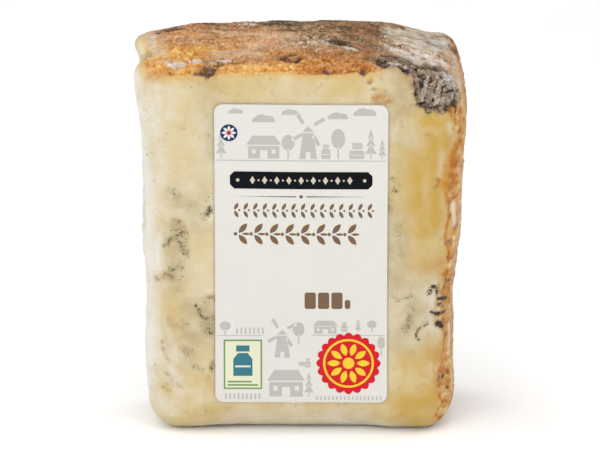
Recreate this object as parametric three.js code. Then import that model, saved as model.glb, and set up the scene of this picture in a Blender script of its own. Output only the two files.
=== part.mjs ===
// A retail wedge of blue-veined Stilton cheese in tight clear film, with a paper label on its front cut face.
// Millimetres, +Z up. The wedge stands on its cut base. The label face looks along -Y, the blunt nose is at
// -X, the outer rind of the truckle is at +X, and the flat top rind of the truckle is on top. The origin is
// the middle of the bottom of the whole object's box.
import * as THREE from "three";
import { mergeVertices } from "three/addons/utils/BufferGeometryUtils.js";

// Driving dimensions of the wedge.
const FACE_WIDTH = 72; // nose side to rind side across the cut face, at mid height
const FACE_HEIGHT = 88.6; // base to the front edge of the top rind
const NOSE_THICKNESS = 28;
const RIND_THICKNESS = 39;
const TRUCKLE_RADIUS = 100; // the whole cheese, which the outer rind still follows

// How far each edge is rounded off, measured into the two faces that meet there.
const SIDE_ROUND_X = 7;
const SIDE_ROUND_Y = 6;
const CREST_ROUND_X = 4; // the upright edges where they meet the top
const TOP_ROUND = 4;
const BASE_ROUND = 8;
const BROKEN_ROUND = 8.5; // the front corner of the shoulder, where the rind has broken away

// The top climbs towards the back, and falls away to the shoulder of the truckle and a little to the nose.
const TOP_RISE = 4;
const SHOULDER = { from: 12, to: 40, drop: 4.4 };
const NOSE_CREST = { from: -18, to: -36, drop: 0.5 };

// The broken, crumbly rind at the front of the shoulder.
const CRUMBLE = { x: 31, z: 80, radius: 10, depth: 1.6, lump: 4.2 };
const CRUMBLE_SINK = 0.35; // share of the depth by which the whole patch is sunk
const CRUMBLE_LUMPS = { sideways: 0.65, upwards: 0.5 }; // share of the depth that its lumps take

// Bulges of the two upright sides: height of the middle, how far they spread, and how far they stand out.
const NOSE_BULGES = [
  { z: 92, spread: 22, out: 2.8 },
  { z: 52, spread: 12, out: 0.1 },
  { z: 18, spread: 9, out: 0.5 },
];
const RIND_BULGES = [
  { z: 77, spread: 12, out: 2.4 },
  { z: 54, spread: 14, out: 1.9 },
  { z: 29, spread: 6, out: -0.7 },
];

// The front of the base edge is pulled up between the two lobes that the wedge seems to stand on.
const ARCH_LIFT = 2.3;
const ARCH_DEPTH = 8; // how far back the arch reaches before the base is flat
const ARCH_HEIGHT = 16;
const LEFT_LOBE = { from: -12, to: -26, keep: 0.2 };
const RIGHT_LOBE = { from: 14, to: 21, keep: 0 };

// Slow unevenness of the soft paste and of the rind.
const SWELL = { length: 19, height: 0.45 };
const RIND_SWELL = { length: 9, height: 0.5 };

// The label, and how far it stands off the film.
const LABEL_WIDTH = 40;
const LABEL_HEIGHT = 71.5;
const LABEL_BOTTOM = 8.2;
const LABEL_CORNER = 2;
const LABEL_WAIST = 0.35; // how far each long side bows in at mid height
const LABEL_GAP = 0.3;
const LABEL_THICKNESS = 0.3;

// Grid lines along each axis, and how strongly they crowd towards the edges.
const WEDGE_STEPS = { x: 26, y: 13, z: 30 };
const LABEL_STEPS = { x: 14, y: 1, z: 24 };
const CROWDING = 0.2;

const HALF_WIDTH = FACE_WIDTH / 2;
const HALF_HEIGHT = FACE_HEIGHT / 2;
const HALF_THICKNESS = (NOSE_THICKNESS + RIND_THICKNESS) / 4;

// Where the shaping of the upper part and of the two sides begins.
const CREST_START = 0.78 * FACE_HEIGHT;
const TOP_START = 0.6 * FACE_HEIGHT;
const SIDE_START = 0.4 * HALF_WIDTH;
const BROKEN_END = 0.9 * HALF_WIDTH;

const { clamp, lerp, smoothstep } = THREE.MathUtils;
const bell = (distance, spread) => Math.exp(-((distance / spread) ** 2));
const crowded = (t) => t * (1 + CROWDING) - CROWDING * t ** 3;

// A repeatable number from -1 to 1 for each corner of a whole-number lattice.
function latticeValue(i, j, k) {
  let hash = Math.imul(i, 374761393) + Math.imul(j, 668265263) + Math.imul(k, 1274126177);
  hash = Math.imul(hash ^ (hash >>> 13), 1103515245);
  hash ^= hash >>> 16;
  return ((hash >>> 0) / 0xffffffff) * 2 - 1;
}

// Smooth noise from -1 to 1, one swell about every unit.
function swell(x, y, z) {
  const at = [x, y, z];
  const low = at.map(Math.floor);
  const fade = at.map((value, axis) => smoothstep(value - low[axis], 0, 1));
  let sum = 0;
  for (let corner = 0; corner < 8; corner++) {
    const step = [corner & 1, (corner >> 1) & 1, (corner >> 2) & 1];
    const share = step.reduce((product, s, axis) => product * (s ? fade[axis] : 1 - fade[axis]), 1);
    sum += share * latticeValue(low[0] + step[0], low[1] + step[1], low[2] + step[2]);
  }
  return sum;
}

const swellAt = (point, length) => swell(point.x / length, point.y / length, point.z / length);

// A box with rounded edges, for box coordinates from -1 to 1. Its base is at z = 0.
function roundedBox(u, v, w) {
  const half = [HALF_WIDTH, HALF_THICKNESS, HALF_HEIGHT];
  const box = [crowded(u) * half[0], crowded(v) * half[1], crowded(w) * half[2]];
  const crest = smoothstep(box[2] + HALF_HEIGHT, CREST_START, FACE_HEIGHT);
  const broken = smoothstep(box[0], SHOULDER.from, BROKEN_END) * smoothstep(-box[1], 0, HALF_THICKNESS);
  const topRound = lerp(TOP_ROUND, BROKEN_ROUND, broken);
  const round = [
    lerp(SIDE_ROUND_X, CREST_ROUND_X, crest),
    lerp(SIDE_ROUND_Y, topRound, crest),
    box[2] > 0 ? topRound : BASE_ROUND,
  ];
  const inner = box.map((value, axis) => clamp(value, round[axis] - half[axis], half[axis] - round[axis]));
  const out = box.map((value, axis) => (value - inner[axis]) / round[axis]);
  const length = Math.hypot(...out) || 1;
  const [x, y, z] = inner.map((value, axis) => value + (round[axis] * out[axis]) / length);
  return new THREE.Vector3(x, y, z + HALF_HEIGHT);
}

const bulge = (list, z) => list.reduce((sum, b) => sum + b.out * bell(z - b.z, b.spread), 0);

// How far the front base edge is lifted, 0 to 1, at a place across the face.
function archShare(x) {
  const left = smoothstep(-x, -LEFT_LOBE.from, -LEFT_LOBE.to) * (1 - LEFT_LOBE.keep);
  const right = smoothstep(x, RIGHT_LOBE.from, RIGHT_LOBE.to) * (1 - RIGHT_LOBE.keep);
  return 1 - left - right;
}

// A point of the wedge's surface for box coordinates from -1 (nose, front, base) to 1 (rind, back, top).
function wedgePoint(u, v, w) {
  const core = roundedBox(u, v, w);
  const { x, y, z } = core;
  const depth = y / HALF_THICKNESS / 2 + 0.5;
  const thickness = lerp(NOSE_THICKNESS, RIND_THICKNESS, x / FACE_WIDTH + 0.5);
  const upper = smoothstep(z, TOP_START, FACE_HEIGHT);
  const offBase = smoothstep(z, 0, ARCH_HEIGHT);
  const noseSide = smoothstep(-x, SIDE_START, HALF_WIDTH);
  const rindSide = smoothstep(x, SIDE_START, HALF_WIDTH);
  const point = new THREE.Vector3(x, depth * thickness - HALF_THICKNESS, z);

  point.x -= noseSide * bulge(NOSE_BULGES, z);
  point.x += rindSide * bulge(RIND_BULGES, z);
  point.x -= (rindSide * ((depth - 0.5) * thickness) ** 2) / (2 * TRUCKLE_RADIUS);
  point.z += upper * TOP_RISE * depth;
  point.z -= upper * SHOULDER.drop * smoothstep(x, SHOULDER.from, SHOULDER.to);
  point.z -= upper * NOSE_CREST.drop * smoothstep(-x, -NOSE_CREST.from, -NOSE_CREST.to);

  const front = 1 - smoothstep(depth * thickness, 0, ARCH_DEPTH);
  point.z += ARCH_LIFT * archShare(x) * front * (1 - offBase);

  // The soft paste swells slowly, and the rind a little faster.
  const slow = SWELL.height * swellAt(core, SWELL.length);
  const quick = RIND_SWELL.height * swellAt(core, RIND_SWELL.length);
  const onTop = smoothstep(z, FACE_HEIGHT - TOP_ROUND, FACE_HEIGHT);
  const onRind = smoothstep(x, HALF_WIDTH - SIDE_ROUND_X, HALF_WIDTH);
  point.y += slow * (2 * depth - 1) * offBase;
  point.x += (slow + quick * onRind) * offBase * (rindSide - noseSide);
  point.z += (slow + quick) * onTop;

  // Lumps and pits of the broken shoulder rind.
  const lump = swellAt(core, CRUMBLE.lump);
  const crumbled = bell(Math.hypot(x - CRUMBLE.x, z - CRUMBLE.z), CRUMBLE.radius) * (1 - depth);
  point.y += crumbled * CRUMBLE.depth * (CRUMBLE_SINK + CRUMBLE_LUMPS.sideways * lump);
  point.z -= crumbled * CRUMBLE.depth * (CRUMBLE_SINK - CRUMBLE_LUMPS.upwards * lump) * onTop;
  return point;
}

// Moves every vertex of a box's grid, whose coordinates run from -1 to 1, and closes its seams.
function shapedBox(steps, place) {
  const geometry = new THREE.BoxGeometry(2, 2, 2, steps.x, steps.y, steps.z);
  geometry.deleteAttribute("normal");
  geometry.deleteAttribute("uv");
  const grid = geometry.getAttribute("position");
  for (let i = 0; i < grid.count; i++) {
    const point = place(grid.getX(i), grid.getY(i), grid.getZ(i));
    grid.setXYZ(i, point.x, point.y, point.z);
  }
  const closed = mergeVertices(geometry, 1e-3);
  closed.computeVertexNormals();
  return closed;
}

// The t from -1 to 1 at which a rising function reaches a value.
function invert(rising, value) {
  let [low, high] = [-1, 1];
  for (let halving = 0; halving < 30; halving++) {
    const middle = (low + high) / 2;
    if (rising(middle) < value) low = middle;
    else high = middle;
  }
  return (low + high) / 2;
}

// Where the front cut face lies, along Y, at a place across it and a height on it.
function frontDepth(x, z) {
  const u = invert(crowded, x / HALF_WIDTH);
  const w = invert(crowded, z / HALF_HEIGHT - 1);
  return wedgePoint(u, -1, w).y;
}

// A point of the label: a thin sheet with round corners that follows the front face.
function labelPoint(u, v, w) {
  const half = [LABEL_WIDTH / 2 - LABEL_WAIST * (1 - w * w), LABEL_HEIGHT / 2];
  const flat = [u * half[0], w * half[1]];
  const inner = flat.map((value, axis) => clamp(value, LABEL_CORNER - half[axis], half[axis] - LABEL_CORNER));
  const out = flat.map((value, axis) => value - inner[axis]);
  const reach = Math.max(...out.map(Math.abs)) / (Math.hypot(...out) || 1);
  const [x, z] = inner.map((value, axis) => value + reach * out[axis]);
  const height = z + LABEL_BOTTOM + half[1];
  const lift = v < 0 ? LABEL_GAP + LABEL_THICKNESS : LABEL_GAP;
  return new THREE.Vector3(x, frontDepth(x, height) - lift, height);
}

function subPart(name, geometry, color, roughness) {
  const mesh = new THREE.Mesh(geometry, new THREE.MeshStandardMaterial({ color, roughness, metalness: 0 }));
  mesh.name = name;
  return mesh;
}

const group = new THREE.Group();
group.add(subPart("wrapped_wedge", shapedBox(WEDGE_STEPS, wedgePoint), 0xdecda0, 0.45));
group.add(subPart("label", shapedBox(LABEL_STEPS, labelPoint), 0xe8e5de, 0.6));

// Puts the origin in the middle of the bottom of the object's box.
const extent = new THREE.Box3().setFromObject(group, true);
const middle = extent.getCenter(new THREE.Vector3());
group.position.set(-middle.x, -middle.y, -extent.min.z);

export default group;
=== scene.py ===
"""A retail wedge of blue-veined cheese in tight clear film, with a printed label on its front cut face.

Lengths are in millimetres until a mesh is made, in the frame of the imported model: +Z up, the label looks
along -Y, the blunt nose is at -X and the outer rind of the round cheese at +X.
"""
import math

import bmesh
import bpy
import numpy as np
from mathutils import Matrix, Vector, geometry


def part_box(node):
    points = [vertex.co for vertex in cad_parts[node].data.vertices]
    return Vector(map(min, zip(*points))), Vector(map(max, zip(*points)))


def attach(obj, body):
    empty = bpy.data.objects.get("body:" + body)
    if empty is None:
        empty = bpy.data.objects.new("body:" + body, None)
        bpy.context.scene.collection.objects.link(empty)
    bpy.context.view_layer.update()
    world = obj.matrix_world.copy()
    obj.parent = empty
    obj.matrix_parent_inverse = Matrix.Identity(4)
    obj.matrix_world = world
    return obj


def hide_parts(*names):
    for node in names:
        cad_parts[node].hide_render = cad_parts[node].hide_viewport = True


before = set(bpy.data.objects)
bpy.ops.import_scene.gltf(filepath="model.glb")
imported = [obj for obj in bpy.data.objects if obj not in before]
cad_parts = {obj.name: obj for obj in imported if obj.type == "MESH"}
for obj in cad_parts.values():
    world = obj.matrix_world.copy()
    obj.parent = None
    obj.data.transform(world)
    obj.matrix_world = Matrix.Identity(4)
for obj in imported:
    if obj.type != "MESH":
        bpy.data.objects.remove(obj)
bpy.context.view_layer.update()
MM = 0.001

# ---- Camera and light, in metres, degrees and watts ----

IMAGE_WIDTH = 600  # pixels
CAMERA_AZIMUTH, CAMERA_ELEVATION = 1.0, 16.0
CAMERA_DISTANCE = 1.1
CAMERA_TARGET = Vector((-0.0006, 0.0, 0.0457))
PIXELS_PER_METRE = 4260.0  # at the target
SENSOR_WIDTH = 36.0

# name: where it stands, which point it faces, its width and height, and its power
LIGHTS = {
    "key": ((-0.7, -1.15, 0.6), (0.0, 0.0, 0.045), (0.9, 0.9), 3.8),
    "fill": ((0.85, -1.05, 0.35), (0.0, 0.0, 0.045), (0.9, 0.7), 2.45),
    "top": ((0.0, -0.3, 1.2), (0.0, 0.0, 0.06), (2.2, 1.6), 18.5),
    "back_left": ((-1.0, 0.75, 0.7), (0.0, 0.5, 0.0), (0.7, 0.5), 3.8),
    "back_right": ((1.0, 0.75, 0.7), (0.0, 0.5, 0.0), (0.7, 0.5), 3.8),
    "left_card": ((-0.85, 0.1, 0.25), (0.0, 0.0, 0.05), (0.5, 0.7), 1.6),
    "low": ((0.0, -1.0, 0.42), (0.0, 0.0, 0.01), (1.6, 0.7), 4.4),
}
WORLD_COLOUR = (1.0, 0.99, 0.975)
WORLD_STRENGTH = 0.25


def stand(name, data, place, heading):
    """A camera or lamp at a place, looking along a heading."""
    made = bpy.data.objects.new(name, data)
    made.location = place
    made.rotation_mode = "QUATERNION"
    made.rotation_quaternion = heading.to_track_quat("-Z", "Y")
    bpy.context.scene.collection.objects.link(made)
    return made


def make_camera():
    azimuth, elevation = math.radians(CAMERA_AZIMUTH), math.radians(CAMERA_ELEVATION)
    level = math.cos(elevation)
    back = Vector((math.sin(azimuth) * level, -math.cos(azimuth) * level, math.sin(elevation)))
    data = bpy.data.cameras.new("camera")
    data.sensor_width = SENSOR_WIDTH
    data.lens = PIXELS_PER_METRE * CAMERA_DISTANCE / IMAGE_WIDTH * SENSOR_WIDTH
    bpy.context.scene.camera = stand("camera", data, CAMERA_TARGET + back * CAMERA_DISTANCE, -back)


def make_lights():
    for name, (place, aim, size, power) in LIGHTS.items():
        data = bpy.data.lights.new(name, "AREA")
        data.shape = "RECTANGLE"
        data.size, data.size_y = size
        data.energy = power
        stand(name, data, place, Vector(aim) - Vector(place))
    world = bpy.data.worlds.new("studio")
    world.use_nodes = True
    background = world.node_tree.nodes["Background"]
    background.inputs["Color"].default_value = (*WORLD_COLOUR, 1)
    background.inputs["Strength"].default_value = WORLD_STRENGTH
    bpy.context.scene.world = world
    bpy.context.scene.view_settings.view_transform = "Standard"


# ---- Repeatable noise ----

WORD = 0xFFFFFFFF


def smoothstep(value, low, high):
    t = np.clip((value - low) / (high - low), 0, 1)
    return t * t * (3 - 2 * t)


def lerp(a, b, t):
    return a + (b - a) * t


def bell(distance, spread):
    return np.exp(-((distance / spread) ** 2))


def lattice_value(i, j, k):
    """A repeatable number from -1 to 1 for each corner of a whole-number lattice, as part.mjs has it."""
    value = (i * 374761393 + j * 668265263 + k * 1274126177) & WORD
    value = ((value ^ (value >> 13)) * 1103515245) & WORD
    return (value ^ (value >> 16)) / WORD * 2 - 1


def swell(points, length):
    """Smooth noise from -1 to 1, one swell about every length."""
    at = np.asarray(points, float) / length
    low = np.floor(at).astype(np.int64)
    fade = smoothstep(at - low, 0, 1)
    total = np.zeros(len(at))
    for corner in np.ndindex(2, 2, 2):
        step = corner[::-1]
        share = np.prod(np.where(step, fade, 1 - fade), axis=1)
        total += share * lattice_value(*(low + step).T)
    return total


def rough_noise(points, length, octaves, gain=0.5):
    """Noise of several lengths, each half the last, about -1 to 1."""
    total, height, reach = np.zeros(len(points)), 1.0, 0.0
    for octave in range(octaves):
        total += height * swell(points + 17.3 * octave, length / 2**octave)
        reach += height
        height *= gain
    return total / reach * 1.6


def cells(points, length, seed=0):
    """Distances, in cell lengths, to the nearest and the next nearest of scattered points, and a number for
    the nearest."""
    at = np.asarray(points, float) / length
    low = np.floor(at).astype(np.int64)
    first, second, owner = np.full(len(at), 9.0), np.full(len(at), 9.0), np.zeros(len(at))
    for offset in np.ndindex(3, 3, 3):
        cell = low + offset - 1
        i, j, k = cell.T
        spot = np.stack([lattice_value(i + 101 * n + seed, j, k) for n in (1, 2, 3)], axis=1) * 0.5 + 0.5
        distance = np.linalg.norm(cell + spot - at, axis=1)
        nearer = distance < first
        second = np.where(nearer, first, np.minimum(second, distance))
        owner = np.where(nearer, lattice_value(i + seed, j + 57, k), owner)
        first = np.where(nearer, distance, first)
    return first, second, owner


# ---- The form of the wedge, with part.mjs's dimensions ----

FACE_WIDTH, FACE_HEIGHT = 72.0, 88.6
NOSE_THICKNESS, RIND_THICKNESS = 28.0, 39.0
TRUCKLE_RADIUS = 100.0
SIDE_ROUND_X, SIDE_ROUND_Y = 7.0, 6.0
CREST_ROUND_X, TOP_ROUND, BASE_ROUND, BROKEN_ROUND = 4.0, 4.0, 8.0, 8.5
TOP_RISE = 4.0
SHOULDER_FROM, SHOULDER_TO, SHOULDER_DROP = 12.0, 40.0, 4.4
NOSE_CREST_FROM, NOSE_CREST_TO, NOSE_CREST_DROP = 18.0, 36.0, 0.5
CRUMBLE_X, CRUMBLE_Z, CRUMBLE_RADIUS, CRUMBLE_DEPTH, CRUMBLE_LUMP = 31.0, 80.0, 10.0, 1.6, 4.2
CRUMBLE_SINK, LUMPS_SIDEWAYS, LUMPS_UPWARDS = 0.35, 0.65, 0.5
NOSE_BULGES = ((92, 22, 2.8), (52, 12, 0.1), (18, 9, 0.5))  # height, spread, out
RIND_BULGES = ((77, 12, 2.4), (54, 14, 1.9), (29, 6, -0.7))
ARCH_LIFT, ARCH_DEPTH, ARCH_HEIGHT = 2.3, 8.0, 16.0
LEFT_LOBE_FROM, LEFT_LOBE_TO, LEFT_LOBE_KEEP = 12.0, 26.0, 0.2
RIGHT_LOBE_FROM, RIGHT_LOBE_TO = 14.0, 21.0
SWELL_LENGTH, SWELL_HEIGHT = 19.0, 0.45
RIND_SWELL_LENGTH, RIND_SWELL_HEIGHT = 9.0, 0.5

HALF_WIDTH, HALF_HEIGHT = FACE_WIDTH / 2, FACE_HEIGHT / 2
HALF_THICKNESS = (NOSE_THICKNESS + RIND_THICKNESS) / 4
HALF = np.array([HALF_WIDTH, HALF_THICKNESS, HALF_HEIGHT])
CREST_START, TOP_START = 0.78 * FACE_HEIGHT, 0.6 * FACE_HEIGHT
SIDE_START, BROKEN_END = 0.4 * HALF_WIDTH, 0.9 * HALF_WIDTH
FACE_ROUNDS = 5


def box_grid(pitch):
    """Vertices and outward quads of a plain box of the wedge's size, cut into squares of about pitch."""
    counts = np.maximum(1, np.round(2 * HALF / pitch)).astype(int)
    lines = [np.linspace(-h, h, n + 1) for h, n in zip(HALF, counts)]
    keys, quads = {}, []
    for axis, first, second in ((0, 1, 2), (1, 0, 2), (2, 0, 1)):
        for end in (0, int(counts[axis])):
            # going first then second turns out of the box at the low end of Y and at the high end of X and Z
            turn = 1 if (end == 0) == (axis == 1) else -1
            for i, j in np.ndindex(counts[first], counts[second]):
                quad = []
                for p, q in ((i, j), (i + 1, j), (i + 1, j + 1), (i, j + 1)):
                    key = [end, end, end]
                    key[first], key[second] = p, q
                    quad.append(keys.setdefault(tuple(key), len(keys)))
                quads.append(quad[::turn])
    return np.array([[line[k] for line, k in zip(lines, key)] for key in keys]), quads


def rounded_box(box):
    """Points of a box with rounded edges and its base at z = 0, for points on a plain box of that size."""
    crest = smoothstep(box[:, 2] + HALF_HEIGHT, CREST_START, FACE_HEIGHT)
    broken = smoothstep(box[:, 0], SHOULDER_FROM, BROKEN_END) * smoothstep(-box[:, 1], 0, HALF_THICKNESS)
    top_round = lerp(TOP_ROUND, BROKEN_ROUND, broken)
    side_x, side_y = lerp(SIDE_ROUND_X, CREST_ROUND_X, crest), lerp(SIDE_ROUND_Y, top_round, crest)
    rounding = np.stack([side_x, side_y, np.where(box[:, 2] > 0, top_round, BASE_ROUND)], axis=1)
    inner = np.clip(box, rounding - HALF, HALF - rounding)
    out = (box - inner) / rounding
    length = np.linalg.norm(out, axis=1, keepdims=True)
    return inner + rounding * out / np.where(length > 0, length, 1) + np.array([0, 0, HALF_HEIGHT])


def bulge(bulges, z):
    return sum(out * bell(z - height, spread) for height, spread, out in bulges)


def thickness_at(x):
    return lerp(NOSE_THICKNESS, RIND_THICKNESS, x / FACE_WIDTH + 0.5)


def wedge_form(box):
    """The outer surface of the wedge for points on a plain box, as part.mjs makes it, and their depth from
    the front face, 0 to 1."""
    core = rounded_box(box)
    x, y, z = core.T
    depth = y / HALF_THICKNESS / 2 + 0.5
    thickness = thickness_at(x)
    upper = smoothstep(z, TOP_START, FACE_HEIGHT)
    off_base = smoothstep(z, 0, ARCH_HEIGHT)
    nose_side = smoothstep(-x, SIDE_START, HALF_WIDTH)
    rind_side = smoothstep(x, SIDE_START, HALF_WIDTH)
    point = np.stack([x, depth * thickness - HALF_THICKNESS, z], axis=1)

    point[:, 0] -= nose_side * bulge(NOSE_BULGES, z)
    point[:, 0] += rind_side * bulge(RIND_BULGES, z)
    point[:, 0] -= rind_side * ((depth - 0.5) * thickness) ** 2 / (2 * TRUCKLE_RADIUS)
    point[:, 2] += upper * TOP_RISE * depth
    point[:, 2] -= upper * SHOULDER_DROP * smoothstep(x, SHOULDER_FROM, SHOULDER_TO)
    point[:, 2] -= upper * NOSE_CREST_DROP * smoothstep(-x, NOSE_CREST_FROM, NOSE_CREST_TO)

    left = smoothstep(-x, LEFT_LOBE_FROM, LEFT_LOBE_TO) * (1 - LEFT_LOBE_KEEP)
    right = smoothstep(x, RIGHT_LOBE_FROM, RIGHT_LOBE_TO)
    front = 1 - smoothstep(depth * thickness, 0, ARCH_DEPTH)
    point[:, 2] += ARCH_LIFT * (1 - left - right) * front * (1 - off_base)

    slow = SWELL_HEIGHT * swell(core, SWELL_LENGTH)
    quick = RIND_SWELL_HEIGHT * swell(core, RIND_SWELL_LENGTH)
    on_top = smoothstep(z, FACE_HEIGHT - TOP_ROUND, FACE_HEIGHT)
    on_rind = smoothstep(x, HALF_WIDTH - SIDE_ROUND_X, HALF_WIDTH)
    point[:, 1] += slow * (2 * depth - 1) * off_base
    point[:, 0] += (slow + quick * on_rind) * off_base * (rind_side - nose_side)
    point[:, 2] += (slow + quick) * on_top

    lump = swell(core, CRUMBLE_LUMP)
    crumbled = CRUMBLE_DEPTH * bell(np.hypot(x - CRUMBLE_X, z - CRUMBLE_Z), CRUMBLE_RADIUS) * (1 - depth)
    point[:, 1] += crumbled * (CRUMBLE_SINK + LUMPS_SIDEWAYS * lump)
    point[:, 2] -= crumbled * (CRUMBLE_SINK - LUMPS_UPWARDS * lump) * on_top
    return point, depth


# How far the form is moved, so that the middle of its box lies in the middle of the CAD solid's.
plain_form = wedge_form(box_grid(2.0)[0])[0]
low, high = (np.array(corner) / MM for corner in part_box("wrapped_wedge"))
SHIFT = (low + high - plain_form.min(0) - plain_form.max(0)) / 2 * (1, 1, 0)


def placed_form(box):
    point, depth = wedge_form(box)
    return point + SHIFT, depth


def front_face(x, z):
    """The y of the wedge's front face at x and z, by moving points of the plain box until they come out
    there."""
    box = np.column_stack([x, np.full(len(x), -HALF_THICKNESS), z - HALF_HEIGHT])
    for _ in range(FACE_ROUNDS):
        point, _ = placed_form(box)
        box[:, 0] += x - point[:, 0]
        box[:, 2] += z - point[:, 2]
    return placed_form(box)[0][:, 1]


# ---- Meshes ----


def new_object(name, vertices, faces, smooth=True):
    """A mesh object of vertices in millimetres."""
    mesh = bpy.data.meshes.new(name)
    mesh.from_pydata((np.asarray(vertices) * MM).tolist(), [], [list(map(int, f)) for f in faces])
    mesh.polygons.foreach_set("use_smooth", [smooth] * len(mesh.polygons))
    mesh.update()
    made = bpy.data.objects.new(name, mesh)
    bpy.context.scene.collection.objects.link(made)
    return made


def refine(mesh, wanted):
    """Cuts into four each face of the mesh whose centre, in the mesh's own units, is wanted."""
    work = bmesh.new()
    work.from_mesh(mesh)
    centres = np.array([f.calc_center_median() for f in work.faces])
    edges = {e for f, keep in zip(work.faces, wanted(centres)) if keep for e in f.edges}
    bmesh.ops.subdivide_edges(work, edges=list(edges), cuts=1, use_grid_fill=True)
    work.to_mesh(mesh)
    work.free()
    mesh.polygons.foreach_set("use_smooth", [True] * len(mesh.polygons))


def vectors(collection, field):
    """A field of three numbers for each item of a mesh's collection."""
    flat = np.empty(len(collection) * 3)
    collection.foreach_get(field, flat)
    return flat.reshape(-1, 3)


def write(mesh, points):
    mesh.vertices.foreach_set("co", np.ascontiguousarray(points * MM, dtype=np.float32).ravel())
    mesh.update()


def stretched_over(mesh, height, rounds):
    """The height at each vertex, raised to its highest neighbour's and then smoothed that many times."""
    pairs = np.empty(len(mesh.edges) * 2, np.int64)
    mesh.edges.foreach_get("vertices", pairs)
    a, b = pairs.reshape(-1, 2).T
    neighbours = np.bincount(pairs, minlength=len(height))
    raised = height.copy()
    np.maximum.at(raised, a, height[b])
    np.maximum.at(raised, b, height[a])
    for _ in range(rounds):
        total = np.bincount(a, raised[b], len(height)) + np.bincount(b, raised[a], len(height))
        raised = 0.5 * raised + 0.5 * total / neighbours
    return raised


def set_attribute(mesh, name, values):
    """Stores a number or a vector for each vertex."""
    kind, field = ("FLOAT", "value") if values.ndim == 1 else ("FLOAT_VECTOR", "vector")
    attribute = mesh.attributes.new(name, kind, "POINT")
    attribute.data.foreach_set(field, np.ascontiguousarray(values, dtype=np.float32).ravel())


# ---- Node materials ----

# How bright a white surface comes out under these lights, bare and under the film.
PAPER_LIGHT, CHEESE_LIGHT = 1.4, np.array([1.43, 1.4, 1.33])


def shade(red, green, blue, light=CHEESE_LIGHT):
    """A surface colour that comes out as this screen colour, 0 to 255."""
    screen = np.array([red, green, blue]) / 255
    linear = np.where(screen > 0.04045, ((screen + 0.055) / 1.055) ** 2.4, screen / 12.92)
    return (*np.clip(linear / light, 0, 0.95), 1.0)


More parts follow.
